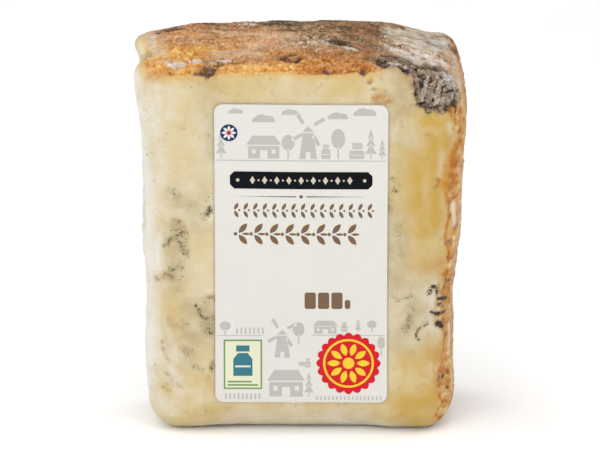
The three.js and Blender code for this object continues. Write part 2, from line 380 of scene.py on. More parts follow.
class Graph:
    """Builds a node material. A value is a number, a vector, a node's output, a surface colour of four
    numbers, or a colour on screen, under the film, of three."""

    def __init__(self, name):
        self.material = bpy.data.materials.new(name)
        self.material.use_nodes = True
        self.tree = self.material.node_tree
        self.tree.nodes.clear()
        self.output = self.add("OutputMaterial")
        place = self.add("TexCoord").outputs["Object"]
        self.place = self.vector("SCALE", place, Scale=1 / MM)
        self.stretched = self.vector("MULTIPLY", self.place, (1.0, 0.55, 1.0))

    def add(self, kind, *values, **named):
        """A node whose first sockets have these values. A name with a capital is that of a socket too, any
        other that of a property."""
        node = self.tree.nodes.new("ShaderNode" + kind)
        sockets = dict(enumerate(values))
        for name, value in named.items():
            if name[0].islower():
                setattr(node, name, value)
            else:
                sockets[name.replace("_", " ")] = value
        for key, value in sockets.items():
            if isinstance(value, bpy.types.NodeSocket):
                self.tree.links.new(value, node.inputs[key])
            elif value is not None:
                on_screen = node.inputs[key].type == "RGBA" and len(value) == 3
                node.inputs[key].default_value = shade(*value) if on_screen else value
        return node

    def cover(self, shader):
        """Ends the material with this shader."""
        self.tree.links.new(shader.outputs[0], self.output.inputs["Surface"])
        return self.material

    def principled(self, **sockets):
        return self.cover(self.add("BsdfPrincipled", **sockets))

    def vector(self, operation, *values, **named):
        return self.add("VectorMath", *values, operation=operation, **named).outputs[0]

    def math(self, operation, *values, clamp=False):
        return self.add("Math", *values, operation=operation, use_clamp=clamp).outputs[0]

    def times(self, a, b, clamp=False):
        return self.math("MULTIPLY", a, b, clamp=clamp)

    def shaken(self, value, noise, amount):
        """The value, with the noise's swing about its middle added."""
        return self.math("MULTIPLY_ADD", self.math("SUBTRACT", noise, 0.5), amount, value)

    def line_at(self, noise, level, width, strength):
        """Thin lines where the noise crosses a level."""
        away = self.math("ABSOLUTE", self.math("SUBTRACT", noise, level))
        return self.step(away, width, 0.0, 0.0, strength)

    def attribute(self, name, output="Fac"):
        return self.add("Attribute", attribute_name=name).outputs[output]

    def covering(self, name, noise, least, most):
        """The attribute of that name, times least to most as the noise goes from low to high."""
        return self.times(self.attribute(name), self.step(noise, 0.1, 0.9, least, most), clamp=True)

    def blot(self, name, noise, most):
        """The attribute of that name as a patch with a ragged edge."""
        return self.step(self.shaken(self.attribute(name), noise, 0.9), 0.25, 0.75, 0.0, most)

    def noise(self, length, detail, roughness=0.5, distortion=0.0, stretch=None, shift=0.0, place=None):
        """Noise of about that length in millimetres, from 0 to 1."""
        place = place or self.place
        if shift:
            place = self.vector("ADD", place, (shift, 0.7 * shift, 1.3 * shift))
        if stretch:
            place = self.vector("DIVIDE", place, stretch)
        named = dict(Scale=1 / length, Detail=detail, Roughness=roughness, Distortion=distortion)
        return self.spread(self.add("TexNoise", Vector=place, **named).outputs["Fac"], 0.3, 0.7)

    def pebbles(self, length, wobble):
        """1 at the middle of each of many rounded cells of about that length, pushed about by wobble."""
        push = self.add("TexNoise", Vector=self.place, Scale=0.7 / length).outputs["Color"]
        push = self.vector("SCALE", self.vector("SUBTRACT", push, (0.5, 0.5, 0.5)), Scale=4 * wobble)
        node = self.add("TexVoronoi", Vector=self.vector("ADD", self.place, push), Scale=1 / length)
        return self.math("SUBTRACT", 1.0, node.outputs["Distance"])

    def spread(self, value, low, high):
        """Value with low to high stretched to 0 to 1."""
        return self.add("MapRange", value, low, high, 0.0, 1.0, clamp=True).outputs[0]

    def step(self, value, low, high, to_low=0.0, to_high=1.0):
        """A smooth step of value from low to high."""
        curve = dict(interpolation_type="SMOOTHSTEP", clamp=True)
        return self.add("MapRange", value, low, high, to_low, to_high, **curve).outputs[0]

    def average(self, a, b, share=0.5):
        """A blend of two noises, with about the contrast of one."""
        node = self.add("Mix", data_type="FLOAT", Factor=share, A=a, B=b)
        return self.spread(node.outputs["Result"], 0.15, 0.85)

    def ramp(self, value, *stops):
        """A colour ramp through stops, each a position and a colour on screen."""
        node = self.add("ValToRGB", value)
        elements = node.color_ramp.elements
        elements[0].position = stops[0][0]
        elements[1].position = stops[-1][0]
        for position, *_ in stops[1:-1]:
            elements.new(position)
        for element, (_, *screen) in zip(elements, stops):
            element.color = shade(*screen)
        return node.outputs["Color"]

    def mix(self, share, a, b):
        return self.add("Mix", data_type="RGBA", Factor=share, A=a, B=b).outputs["Result"]

    def coats(self, colour, *coats):
        """The colour under coats, each a share and a colour, laid on in this order."""
        for share, coat in coats:
            colour = self.mix(share, colour, coat)
        return colour

    def bump(self, height, distance, strength):
        """A bump of that height in millimetres."""
        return self.add("Bump", Strength=strength, Distance=distance * MM, Height=height).outputs["Normal"]


# ---- The cheese: where rind, mould, veins and stains lie ----

CHEESE_PITCH = 0.72  # halved where the surface is rough or seen close
CHEESE_INSET = 0.25  # from the form, which is the outside of the film
WARP_LENGTH, WARP = 1.5, 0.4  # how the marks' edges wander
STREAKS_BEND, STREAKS_FALL = 10.0, 0.022  # the x where the top's streaks start to bend, and how fast they do

# Where the rind of the top ends along the front edge: x, and how far from the edge over the top (+) or down
# the front face (-).
TOP_RIND_EDGE = (
    (-36, -1.2), (-28, -1.9), (-22, -1.4), (-14, -1.1), (0, -1), (10, -1.2), (16.5, -0.4), (18.6, 1),
    (20.2, 3.2), (21.8, 4.2), (23.2, 4), (24.4, 3), (25.4, 1), (26.4, -2.6), (27.3, -6.2), (28.4, -7.4),
    (31, -6), (34, -5), (38, -5),
)
# Where the outer rind ends along the front edge: z, and how far round the edge (+) or over the face (-).
SIDE_RIND_EDGE = (
    (0, -1), (8, -1.6), (13, -2.2), (18, -1.2), (20, 0.6), (24, 2.2), (27, 0), (30, -0.6), (35, 0.2),
    (40, 0.8), (50, 0.8), (55, -0.4), (60, -1.4), (63, -0.8), (66, 0.4), (69, 1.2), (72, 1.6), (75, 0),
    (78, -3), (82, -5), (90, -5),
)


def marks(face, rows, wider=1.0, stronger=1.0):
    """Marks as (face, reach, strength, path), made wider and stronger than their rows say."""
    return [(face, wider * row[0], stronger * row[1], list(zip(row[2::2], row[3::2]))) for row in rows]


# Marks on the cheese. A row says how far the mark reaches to each side of its path, how strong it is, and
# then the points of the path: x and z on the front, x and y on the top, y and z on the rind side and the
# nose. Below are the blue veins, brown stains in the paste, deep orange, near-black spots and rims (dark
# mould, with painted shade in pits and under the broken rind's edge), soot, yellow paste, pale paste and rind
# (with a painted sheen of the film along the left and right edges and the nose, and a painted lighter band
# along the bottom of the front), greyish paste, pale mould, lumps and pits with their height as the strength,
# broken rind, and rows of crumbs with their tone as the strength.

# How much wider and stronger than their rows the veins beside the label are, from left to right.
LEFT_VEINS, MIDDLE_VEINS, RIGHT_VEINS = (1.35, 0.836), (1.35, 0.95), (1.215, 1.2825)

VEINS = marks("front", (
    (0.5, 0.6, -30.5, 59.4, -29.7, 58.5, -28.9, 57.4, -28, 57.5, -28.1, 58.8, -29.3, 59.1),
    (0.7, 0.5, -29.6, 50.2, -28.9, 49),
    (0.6, 0.95, -31.8, 45.8, -30.8, 46.7, -30.2, 47.7, -29.2, 47.7, -28.1, 48.2, -27.1, 48.9),
    (0.6, 1, -28.9, 47.4, -27.9, 46.1, -27.3, 45, -26.8, 43.9),
    (0.7, 0.6, -27.1, 47.4, -26.8, 45.6, -27.6, 46.4), (0.5, 0.9, -30.3, 40.4, -29.4, 39.9, -28.8, 40.7),
    (0.5, 0.8, -28.5, 41.1, -27.8, 40.8), (0.5, 0.6, -28, 42.2, -27.5, 41.6),
    (0.6, 0.5, -33, 37.6, -32.2, 38), (0.7, 0.6, -30.9, 39, -30.1, 38), (0.5, 0.35, -29.2, 37, -27.6, 38.4),
    (0.45, 1.15, -24.5, 31.5, -23.9, 30.1, -23.2, 29, -22.1, 28.2), (0.6, 0.55, -22.3, 32.9, -21.6, 32.2),
    (0.6, 0.75, -27.5, 27.6, -26.8, 27.1), (0.8, 0.6, -27.1, 20.8, -25.8, 20.5, -26.6, 19.7),
    (0.6, 0.7, -25.1, 16.2, -24.2, 15.7, -23.1, 15.4), (0.7, 0.45, -31.3, 15.2, -31, 14.6),
    (0.7, 0.5, -31.9, 11.3, -31.3, 11), (0.7, 0.35, -34, 16.4, -33.8, 14.6),
    (0.6, 0.3, -36.4, 40, -35.6, 36.6),
), *LEFT_VEINS) + marks("front", (
    (0.45, 1.7, -21.1, 55.2, -21.3, 54.2, -21.6, 53.4), (0.9, 0.6, -21.7, 54.6, -22.1, 52.9),
    (0.8, 0.35, -21.8, 57.6, -20.6, 55.9), (1.3, 0.6, -22, 27.6, -21, 25.6),
    (0.5, 1.1, -21.2, 25.4, -20.8, 24.9), (0.5, 0.75, -20.6, 17.4, -20.9, 15.9),
    (0.5, 0.6, 20.8, 62, 21.4, 61.8), (0.5, 0.95, 21.4, 59.7, 21.9, 59.4), (0.9, 0.3, 21.2, 61.5, 21.8, 60),
    (0.7, 0.3, 22.3, 51.3, 22.9, 48, 23.2, 44), (0.4, 0.6, 21.3, 33.8, 22.5, 32.7, 24.1, 33.2, 25.4, 34.3),
    (0.5, 0.55, 25.8, 31.6, 26.1, 30.6), (0.7, 0.6, 25.3, 28.7, 24.7, 27.4, 24.3, 26.4),
), *MIDDLE_VEINS) + marks("front", (
    (0.7, 1.1, 30, 34.8, 30.7, 35.9, 31.5, 35.5, 31.6, 34.5), (0.5, 0.8, 32.8, 33.5, 33, 31.6),
    (0.5, 1, 32, 31.3, 33.2, 31.1), (0.5, 1.1, 33.6, 37.2, 33.8, 36.4, 34.5, 36.8),
    (0.55, 1, 32.3, 13.5, 33.3, 13.8), (0.4, 1.2, 34, 10.9, 34.4, 10.5), (0.4, 1, 33.9, 46, 34.8, 47),
), *RIGHT_VEINS) + marks("front", (
    (0.5, 0.35, -36, 68.4, -34.9, 65.2),
    (0.36, 1.3, 27.6, 26.1, 26.9, 25.5, 26.5, 24.4, 26.8, 23.6, 27.2, 22.9),
    (0.4, 0.95, 29.4, 27.2, 28.4, 26.7, 27.6, 26.1), (0.42, 2.3, 32, 32.7, 33.8, 32.6),
    (0.45, 2.2, 30.7, 29.8, 31.2, 29.4, 32.3, 29, 33.3, 29.7), (0.8, 2.1, 31.9, 27, 32.5, 26.9, 33, 26),
))
STAINS = marks("front", (
    (1, 0.6, -29.2, 51.4, -27.9, 51.8), (0.8, 0.5, -27.6, 50.8, -26.9, 48.8),
    (1, 0.5, -33.4, 37.6, -31.4, 38.9, -30.1, 38.2), (0.8, 0.7, -21.2, 33.4, -19.8, 33.2),
    (0.6, 0.6, -20.5, 28.7, -20.1, 28.3), (1, 0.35, -31, 27.8, -28.2, 26.3),
    (0.6, 0.5, -32.6, 22.5, -32.2, 20.8, -30.8, 18.1), (0.9, 0.45, -27.2, 20.9, -25.8, 20),
    (0.9, 0.35, -30.2, 13.3, -28.7, 12), (0.7, 0.6, -20.4, 17.3, -20.8, 15.6),
    (0.8, 0.45, 19.9, 57.4, 20.2, 56.6), (0.8, 0.55, 20.2, 55.2, 20.8, 54.8),
    (0.9, 0.5, 25.3, 28.7, 24.3, 26.3), (0.45, 1, 30.6, 59.8, 31.3, 60.3, 31.6, 61.3, 31.2, 61.6),
    (0.5, 0.9, 15.5, 85.2, 16.4, 85.8), (0.45, 0.9, 18.1, 85.3, 18.6, 85.9),
    (0.45, 0.8, 16.3, 83.2, 17.1, 82.7), (1, 0.6, 17.4, 81.2, 18.6, 80.8, 20, 80.4),
    (0.9, 0.5, 18.2, 82, 19.4, 82.2), (1.1, 0.9, 32.6, 16.6, 32.2, 13, 33.4, 10),
    (0.6, 0.8, 25.8, 86.4, 26.6, 84.6), (0.5, 1, 27.3, 81.8, 27, 80.6),
    (1, 0.5, 23.4, 87, 24.8, 85.2, 25.6, 82.8, 26.2, 80.2), (0.6, 1, 34, 79.4, 34.6, 78.6, 34.2, 77.9),
))
AMBER = marks("front", (
    (1.8, 0.5, 33, 79.4, 35.6, 77.8), (0.8, 0.6, 36.6, 76.6, 36.9, 73.4, 36.2, 70, 35.3, 67),
    (1.2, 1.3, 35.9, 69.4, 35, 66.4, 34.8, 64.6), (1, 0.6, 33.2, 64.4, 33.6, 62.2),
    (0.8, 1.2, 34.4, 62.9, 34.9, 61.6), (1.5, 0.9, 33, 60.6, 34.6, 59),
    (0.6, 1.3, 33.3, 58, 33.6, 56.2, 34.6, 55.7),
    (0.5, 1.3, 34.3, 55, 34.2, 51.8, 33.6, 50.4, 33.6, 46.4, 34.2, 45.4, 34.2, 41.5),
    (0.7, 1, 33.4, 39.4, 33.2, 38), (0.6, 0.8, 33.8, 34.6, 34, 30.6, 33.8, 28.4),
    (0.35, 1.1, 33.2, 24.8, 33.4, 22.4, 33.3, 20.4), (2, 0.35, 31, 19.8, 33.4, 18.6),
    (0.8, 0.6, 33.2, 17.4, 33.6, 15, 32, 12.8), (1.4, 0.35, 32.4, 12, 33, 8.6),
    (1.6, 0.35, 29.6, 40.2, 32.4, 41.4), (1.3, 0.45, 17.4, 81.3, 19.8, 80.8),
    (1.2, 0.6, -34.4, 86, -31.6, 86.6),
)) + marks("top", (
    (1.8, 1.2, 33.6, 9.5, 34.4, 12.5, 35.6, 14), (0.45, 0.8, 34.2, 7.5, 36.2, 3, 36.8, -4),
    (0.8, 1.2, -19.4, -6.4, -16.5, -4.8, -13.4, -3.2), (1.1, 1, -7.4, -14.4, -5.6, -13.8),
    (0.9, 1, 0.6, -15, 4, -14.6, 7, -14), (2.2, 0.9, -6, -9.6, -3, -10.4, 0, -9.6),
    (2.2, 0.45, 6, -11.4, 13, -11.6),
))
# Dark mould, and painted shade: the pits that RELIEF sinks and the underside of the broken rind's edge are
# darkened here too.
DARK_SPOTS_AND_SHADE = marks("top", (
    (1.3, 0.75, -22.2, -16.4, -20.2, -16.2), (1, 0.7, -19.6, -15.6, -18.4, -14.8),
    (0.8, 0.9, -4.6, -12.4, -3, -10.6, -2.2, -9.2), (0.9, 0.95, -3.6, -13.2, -1.4, -13.6, -0.2, -12.2),
    (1, 0.85, 8.3, -2.6, 10, -3.8), (0.9, 0.9, 10.8, -5, 12.6, -6.8),
    (0.6, 1.2, 8.6, -3.6, 10.2, -5.6, 12, -7.6, 13.6, -8.4), (0.6, 1, -31.4, 3.6, -29.6, 4.4),
    (0.9, 0.8, -33, 4.4, -30.4, 5.4, -28, 5), (0.6, 0.9, -34.2, 2.6, -33, 3.4),
    (0.7, 0.9, -24.8, 8, -22, 8.4), (1.3, 0.75, 17.6, -13.6, 19, -10.6, 21, -8.8, 24, -9.1, 26.4, -11),
)) + marks("front", (
    (1.3, 0.75, -22.4, 87, -20.4, 87.2), (0.6, 1.2, -21.8, 86.1, -21.2, 86.3),
    (0.6, 0.8, -24.2, 86.4, -22.9, 86.3), (0.6, 0.9, 5.2, 87.6, 5.8, 86.8), (0.6, 0.9, 14, 87.8, 14.6, 86.9),
    (0.8, 0.75, 26.4, 86.6, 26.3, 84.6, 26.9, 82.4, 27.2, 80.2, 28.4, 79.6),
    (0.7, 1, 32.2, 79.9, 33.8, 80.2, 36.2, 81.3), (0.5, 0.8, 35.2, 80.2, 36, 79.2, 36.5, 79.6),
    (0.45, 1.2, 35.2, 79.8, 35.8, 78.6, 35.4, 77.4),
))
SOOT = marks("top", (
    (1.1, 0.9, -22.2, -14.6, -19.8, -14.4), (0.9, 0.5, -18.4, -15, -13.5, -14.2),
    (1.1, 0.9, -11, 9, -6, 8.6, -1, 8.8), (0.9, 0.8, -7, 5.6, 0, 5), (1.4, 1.2, 4.5, 7.6, 8, 7.4, 11.5, 6.4),
    (2.4, 0.8, 11, 1.6, 14.5, -1, 17.6, -4.4), (2, 1.1, 7.4, -2, 10.4, -3.6, 13.4, -5.6),
    (1.6, 0.8, 14.5, -13.6, 17.5, -12.6), (1.3, 0.7, -6, -12, -1, -11), (1.6, 0.8, 29.6, 4.6, 32, 3.4),
    (1.6, 0.5, 12, 3.6, 17.4, 1.6, 19.6, 0.6), (2, 0.8, -33, 5.4, -29, 7, -23, 8.6, -16, 9.4),
))
OCHRE = marks("front", (
    (4, 0.35, -12, 84, 12, 84), (1.6, 0.7, 32.4, 77.4, 31.4, 72.6),
    (3.6, 1, 29, 76, 32.6, 75, 33.4, 71, 32.4, 60), (2.2, 0.5, 32.4, 60, 32.4, 50, 31.8, 40, 31, 36),
    (3.6, 1.05, 30.4, 71.6, 30.8, 62, 31, 52), (4.5, 0.95, 27.4, 66, 26.6, 58, 28.4, 50),
    (4, 0.6, 28, 47, 28.4, 42), (3.4, 0.7, 31, 20, 26, 18, 29, 14), (6, 1, 25.5, 6.4, 31, 10),
    (4.5, 0.4, 12, 4, 24, 9), (3.2, 0.5, -26, 4.6, -18, 5.6), (1.6, 0.6, -22.6, 6.6, -20.4, 5),
    (3.4, 0.2, -14, 4.6, 10, 4.6), (1.4, 0.5, 34.2, 49, 34.8, 45), (2.2, 0.3, -31.4, 84.5, -31, 80),
    (3.6, 0.33, -31.4, 33.6, -30, 29, -29.2, 22.5), (2.2, 0.35, -23, 13.5, -21, 11.5),
    (3, 0.35, -26, 86, -18, 84.5), (2.4, 0.3, 22.5, 86.5, 24.5, 74), (1, 0.4, -36.4, 87, -35.6, 84),
    (1.1, 0.4, -34.5, 84.5, -33.5, 80.5, -32.6, 77.5), (3.4, 0.35, -34, 12, -28, 8),
)) + marks("top", (
    (1.2, 0.6, -35.2, 1, -35.4, -5),
))
# Pale paste and rind. Along the left edge, the nose and the right edge it is partly a painted sheen and
# highlight of the film, and along the bottom of the front a painted lighter band.
PALE_AND_PAINTED_LIGHT = marks("nose", (
    (5, 0.8, -9, 80, -4, 62, -4, 48, -9, 36, -9, 10),
)) + marks("top", (
    (2.4, 1, -35.6, 4, -34.6, -4, -33, -9), (2.4, 1.1, 34.4, 5, 36, -3, 35.6, -9.5),
    (1.6, 0.75, -18, 4, -8, 3), (1.6, 0.7, -17, -10, -10, -8.6), (2.6, 0.8, -18, -8.4, -13, -7.4, -11.4, -3),
    (2.2, 0.5, 2.4, -2.6, 5, -3.2), (2.4, 0.6, -5.5, -4.4, -2.5, -3.8), (2.2, 0.55, -34, -13.5, -29, -15),
    (2.6, 0.9, -8, 1.8, -2.5, 1.4),
)) + marks("front", (
    (3.2, 0.95, -38.4, 84, -37, 66, -35.4, 50, -35.6, 30, -35.6, 12), (1.5, 0.8, -33.4, 47, -33.2, 40.5),
    (1.2, 0.55, -34.6, 26, -31.2, 18, -28, 10.5), (0.9, 0.4, -31.8, 27, -28.8, 18.5),
    (0.8, 1, 35.3, 55, 35.5, 50.6), (0.8, 0.8, 34.4, 26, 34.6, 19.6), (1.1, 0.4, 34.4, 74.4, 35.2, 71.6),
    (1, 0.35, 32.6, 67.6, 31.8, 63), (1.2, 0.4, 30.9, 16.4, 30.5, 12.6), (1.6, 0.6, 31, 36, 31.4, 26.5),
    (3.4, 0.4, -16, 3.4, 12, 3.4), (2.6, 0.42, -33.4, 85, -33.2, 60), (1.8, 0.4, -33, 9.4, -30.4, 5),
))
DULL = marks("front", (
    (5, 0.85, 22, 52, 22.5, 38, 27, 30, 24, 24), (3.4, 1, 22, 86.5, 23.5, 79), (2, 0.9, 25.4, 86.5, 26, 82),
    (2.4, 0.55, -21.4, 83.5, -21.2, 68), (2.6, 0.4, -24, 56, -22, 62),
    (3, 0.65, -29.8, 58.5, -25.7, 55.5, -24, 51), (3, 0.8, -29.6, 50, -29.2, 36),
    (3.2, 0.9, -25.7, 30.5, -21.5, 30, -21.8, 24.5, -25.7, 24), (2.8, 0.6, -29.6, 23, -26, 18),
    (3.4, 0.6, 28, 41, 27.5, 34, 28.5, 23), (3.4, 0.5, 21.5, 76, 24.5, 70), (2.6, 0.4, 21.8, 66, 22, 54),
))
BLOOM = marks("top", (
    (1.2, 0.85, -30.4, -15.4, -28.6, -16.6, -27, -15.6), (0.8, 0.8, -25.4, -14.2, -20.5, -14.2, -16, -13.4),
    (1.2, 0.55, -35, 2, -34.4, -4, -33, -8), (0.8, 0.9, -14.4, 8, -11.4, 8.2),
    (2.6, 0.45, 0.6, -2, 5.4, -2.6), (4.8, 1.1, 23, 5, 27, 3, 29.4, 1), (3.6, 1.15, 22, 9, 26, 11, 32, 10.5),
    (2.6, 0.4, 18, 3, 20, -3), (2.2, 0.75, 25.6, -2.3, 27.7, -4.4, 30.2, -5.7, 32, -5.9),
    (2.6, 1.1, 26.5, 14, 31, 15.5), (4, 1, 26, 10, 30, 9, 31.4, 6.6),
    (0.45, 0.9, 33, 9, 35.2, 4, 35.8, -3, 34.8, -9), (3.4, 0.85, 22.5, -4.5, 27, -8.5, 30, -8.5),
    (0.6, 1, 9.4, -6.6, 11, -8.4, 12.8, -9.8), (0.7, 0.9, -19.6, -9.8, -18.8, -9.6),
    (0.8, 1, 19.4, -13.6, 21.6, -13.2, 24.2, -13.2),
)) + marks("front", (
    (1.7, 1.2, 33, 84.4, 34.2, 83), (0.9, 1, 28.2, 86, 28.6, 82.6, 28.9, 80.9),
    (0.6, 0.9, 30.6, 82.6, 30.9, 79.8), (0.5, 1.1, 34.3, 58.4, 34.8, 57.2),
    (0.5, 0.9, 33.8, 37.2, 34.6, 36.2), (0.6, 0.7, 33, 14.4, 34.2, 13.2),
    (0.5, 0.8, -20.9, 87.6, -20.2, 87.5),
))
RELIEF = marks("top", (
    (4, -1, -35.5, 8, -31, 9), (5, 0.7, -29, 8, -24, 10, -17, 11), (5, 0.25, -11, 12, 4, 13),
    (4, -0.25, 12, 13.5, 22, 11), (4.4, -1, 31.5, 12.5, 35, 9), (0.9, -1.2, 8.6, -3.2, 10, -4.6),
    (0.8, -1.2, 11.2, -5.6, 12.8, -7.4), (0.7, 0.5, 9.4, -5.6, 11, -7.6, 12.8, -9.4),
    (0.7, -1, -4.6, -12.4, -3, -10.6, -2.2, -9.2), (0.7, -1, -3.6, -13.2, -1.4, -13.6, -0.2, -12.2),
    (1.2, 0.5, -28.6, -7.6, -22.6, -9), (1.4, -0.5, -19, -9.6, -13, -4),
)) + marks("side", (
    (4, 0.7, -8, 86.5, 4, 88, 12, 88),
)) + marks("nose", (
    (11, 1.15, 0, 64, 0, 50), (9, 0.6, 0, 40, 0, 18), (4, 1.7, 13, 84, 6, 86.5, 0, 88.5),
    (2.6, -1.1, -9, 89.2, 0, 86, 6, 84, 13, 82), (4, 0.4, -13, 86, -13, 82),
)) + marks("front", (
    (1.4, -1.2, -22.4, 87.2, -21, 87.6), (0.7, -0.5, 5.4, 87.3, 6.2, 87), (0.7, -0.5, 13.8, 87, 14.4, 86.6),
    (0.6, -0.5, -20.9, 55.2, -21.5, 53), (1.6, 0.6, 33.8, 61.8, 34.4, 57.6),
))
CRUMBS = marks("front", (
    (4.6, 1.2, 30.6, 85.2, 31.2, 82.8), (2, 1.1, 27.8, 84.4, 28.2, 81.4), (2.2, 1, 34.6, 83, 35.6, 81.6),
)) + marks("top", (
    (2.8, 0.9, 19, -13.4, 21, -11.4, 24, -11.4, 26.4, -13.2),
))
CRUMB_ROWS = marks("front", (
    (2.8, 0.99, 34.6, 84.4), (1.1, 0.7, 32.2, 80.9, 33.6, 80.5, 35, 80.9),
    (0.85, 0.72, 29.3, 86.2, 28.6, 83.8, 27.7, 81.2), (0.8, 0.78, 32, 84.4, 31.4, 82.4, 30.8, 81.2),
    (0.8, 0.5, 30.2, 86.6, 30.8, 84.6, 29.6, 82.4, 29.2, 80.6),
    (0.75, 0.35, 32.6, 82, 34.1, 81.2, 35.6, 81.6), (0.7, 0.97, 31.3, 81, 31, 80.2),
    (0.75, 0.25, 25.6, 87, 26.3, 85, 26.8, 82.6, 26.9, 80.6), (0.7, 0.12, 29.8, 79.7, 28.2, 79.5),
    (0.9, 0.6, 27.4, 87.9, 29.4, 87.8, 31.4, 87.4),
)) + marks("top", (
    (1, 0.55, 27.2, -12.8, 29.2, -12.8, 31.4, -11.6, 34, -10.2), (0.6, 0.97, 18.8, -10.6),
    (0.6, 0.92, 19.8, -13.4, 21.4, -12.9, 23, -12.9),
    (0.6, 0.3, 18.6, -12.2, 20.4, -9.8, 23, -9.4, 25.6, -10.8), (0.7, 0.45, 20, -11.6, 22, -11, 24.4, -11.4),
    (0.6, 0.25, 24.4, -13, 26.4, -14),
))

FACING = 0.15  # the least that a point's direction has of a face's, to lie on it

# Each face: which two coordinates its marks give, and which way it faces.
FACES = {
    "front": ((0, 2), (0, -1, 0)), "top": ((0, 1), (0, 0, 1)), "side": ((1, 2), (1, 0, 0)),
    "back": ((0, 2), (0, 1, 0)), "nose": ((1, 2), (-1, 0, 0)), "base": ((0, 1), (0, 0, -1)),
}

LABEL_WIDTH, LABEL_HEIGHT, LABEL_BOTTOM = 40.0, 71.5, 8.2
LABEL_MIDDLE = LABEL_BOTTOM + LABEL_HEIGHT / 2


class Surface:
    """Points of the wedge's surface, with what their place on the wedge says about them."""

    def __init__(self, box, points, depth, out):
        self.points, self.out = points, out
        self.x, _, self.z = rounded_box(box).T
        self.thickness = thickness_at(self.x)
        self.from_front = depth * self.thickness
        self.from_back = self.thickness - self.from_front
        warp = [swell(points + 31.0 * axis, WARP_LENGTH) for axis in range(3)]
        self.warped = points + WARP * np.stack(warp, axis=1)
        self.drift = self.noise(9.0, 3)
        self.on_top = smoothstep(out[:, 2], 0.2, 0.6)
        self.streaky = smoothstep(points[:, 0] + 2 * self.drift, 6, 16) * self.on_top
        self.beside = smoothstep(out[:, 0], 0.2, 0.7) * (1 - self.on_top)
        self.behind = self.beside * smoothstep(self.from_front + 3 * self.drift, 9, 16)
        self.rind, self.over_edge = self.inside_rind()

    def noise(self, length, octaves, shift=0):
        return rough_noise(self.points + shift, length, octaves)

    def patches(self, length, octaves, shift, low, high):
        return smoothstep(self.noise(length, octaves, shift), low, high)

    def snap(self, face, spot):
        """The surface point of that face nearest to a spot given by two coordinates."""
        (first, second), facing = FACES[face]
        away = np.hypot(self.points[:, first] - spot[0], self.points[:, second] - spot[1])
        away = np.where(self.out @ np.array(facing) > FACING, away, np.inf)
        return self.points[np.argmin(away)]

    def painted(self, given, added=False):
        """How strongly the marks cover each point: the strongest mark there, or all of them added."""
        total = np.zeros(len(self.points))
        for face, reach, strength, path in given:
            stops = np.array([self.snap(face, spot) for spot in path])
            near = np.all(self.warped > stops.min(0) - 3 * reach, axis=1)
            near &= np.all(self.warped < stops.max(0) + 3 * reach, axis=1)
            place = self.warped[near]
            distance = np.full(len(place), np.inf)
            for a, b in zip(stops[:-1], stops[1:]):
                along = np.clip((place - a) @ (b - a) / max((b - a) @ (b - a), 1e-9), 0, 1)
                away = np.linalg.norm(a + along[:, None] * (b - a) - place, axis=1)
                distance = np.minimum(distance, away)
            cover = strength * bell(distance, reach)
            total[near] = total[near] + cover if added else np.maximum(total[near], cover)
        return total

    def inside_rind(self):
        """How far each point lies inside the rind, and how far from the front edge of the rind on top."""
        below_top, beside_rind = FACE_HEIGHT - self.z, HALF_WIDTH - self.x
        over_edge = self.from_front - below_top - np.interp(self.points[:, 0], *np.array(TOP_RIND_EDGE).T)
        top = np.minimum(over_edge, self.from_back - below_top + 1.0)
        top = np.minimum(top, self.x + HALF_WIDTH - below_top - 1.6)
        side = self.from_front - beside_rind - np.interp(self.points[:, 2], *np.array(SIDE_RIND_EDGE).T)
        side = np.minimum(side, self.from_back - beside_rind + 1.0)
        side = np.minimum(side, self.z - 0.6 * beside_rind - 1.0)
        side += 0.9 * self.noise(2.6, 3, 51)
        ragged = (0.7 + 1.4 * bell(self.x - 25.2, 3.2)) * self.noise(3.0, 3)
        return np.maximum(top, side) + ragged, over_edge

    def under_label(self):
        """1 where the label presses on the face, 0 away from it."""
        x, _, z = self.points.T
        pressed = smoothstep(-self.out[:, 1], 0.7, 0.95)
        for inside in (LABEL_WIDTH / 2 - np.abs(x), LABEL_HEIGHT / 2 - np.abs(z - LABEL_MIDDLE)):
            pressed = pressed * smoothstep(inside, -1.8, -0.6)
        return pressed


def wandering_veins(rng, face, across, up, clusters):
    """Clusters of short branching veins, at random on one face. across and up are the face's ranges."""
    made = []
    for _ in range(clusters):
        start = np.array([rng.uniform(*across), rng.uniform(*up)])
        for _ in range(rng.integers(1, 5)):
            heading, spot, path = rng.uniform(0, 2 * math.pi), start.copy(), [tuple(start)]
            for _ in range(rng.integers(2, 5)):
                heading += rng.normal(0, 0.6)
                spot = spot + rng.uniform(0.8, 1.8) * np.array([math.cos(heading), math.sin(heading)])
                path.append(tuple(spot))
            made.append((face, rng.uniform(0.4, 0.8), rng.uniform(0.4, 1.1), path))
        if rng.random() < 0.4:
            made.append((face, 1.2, 0.5, [(start[0] - 1, start[1]), (start[0] + 1, start[1] + 0.6)]))
    return made


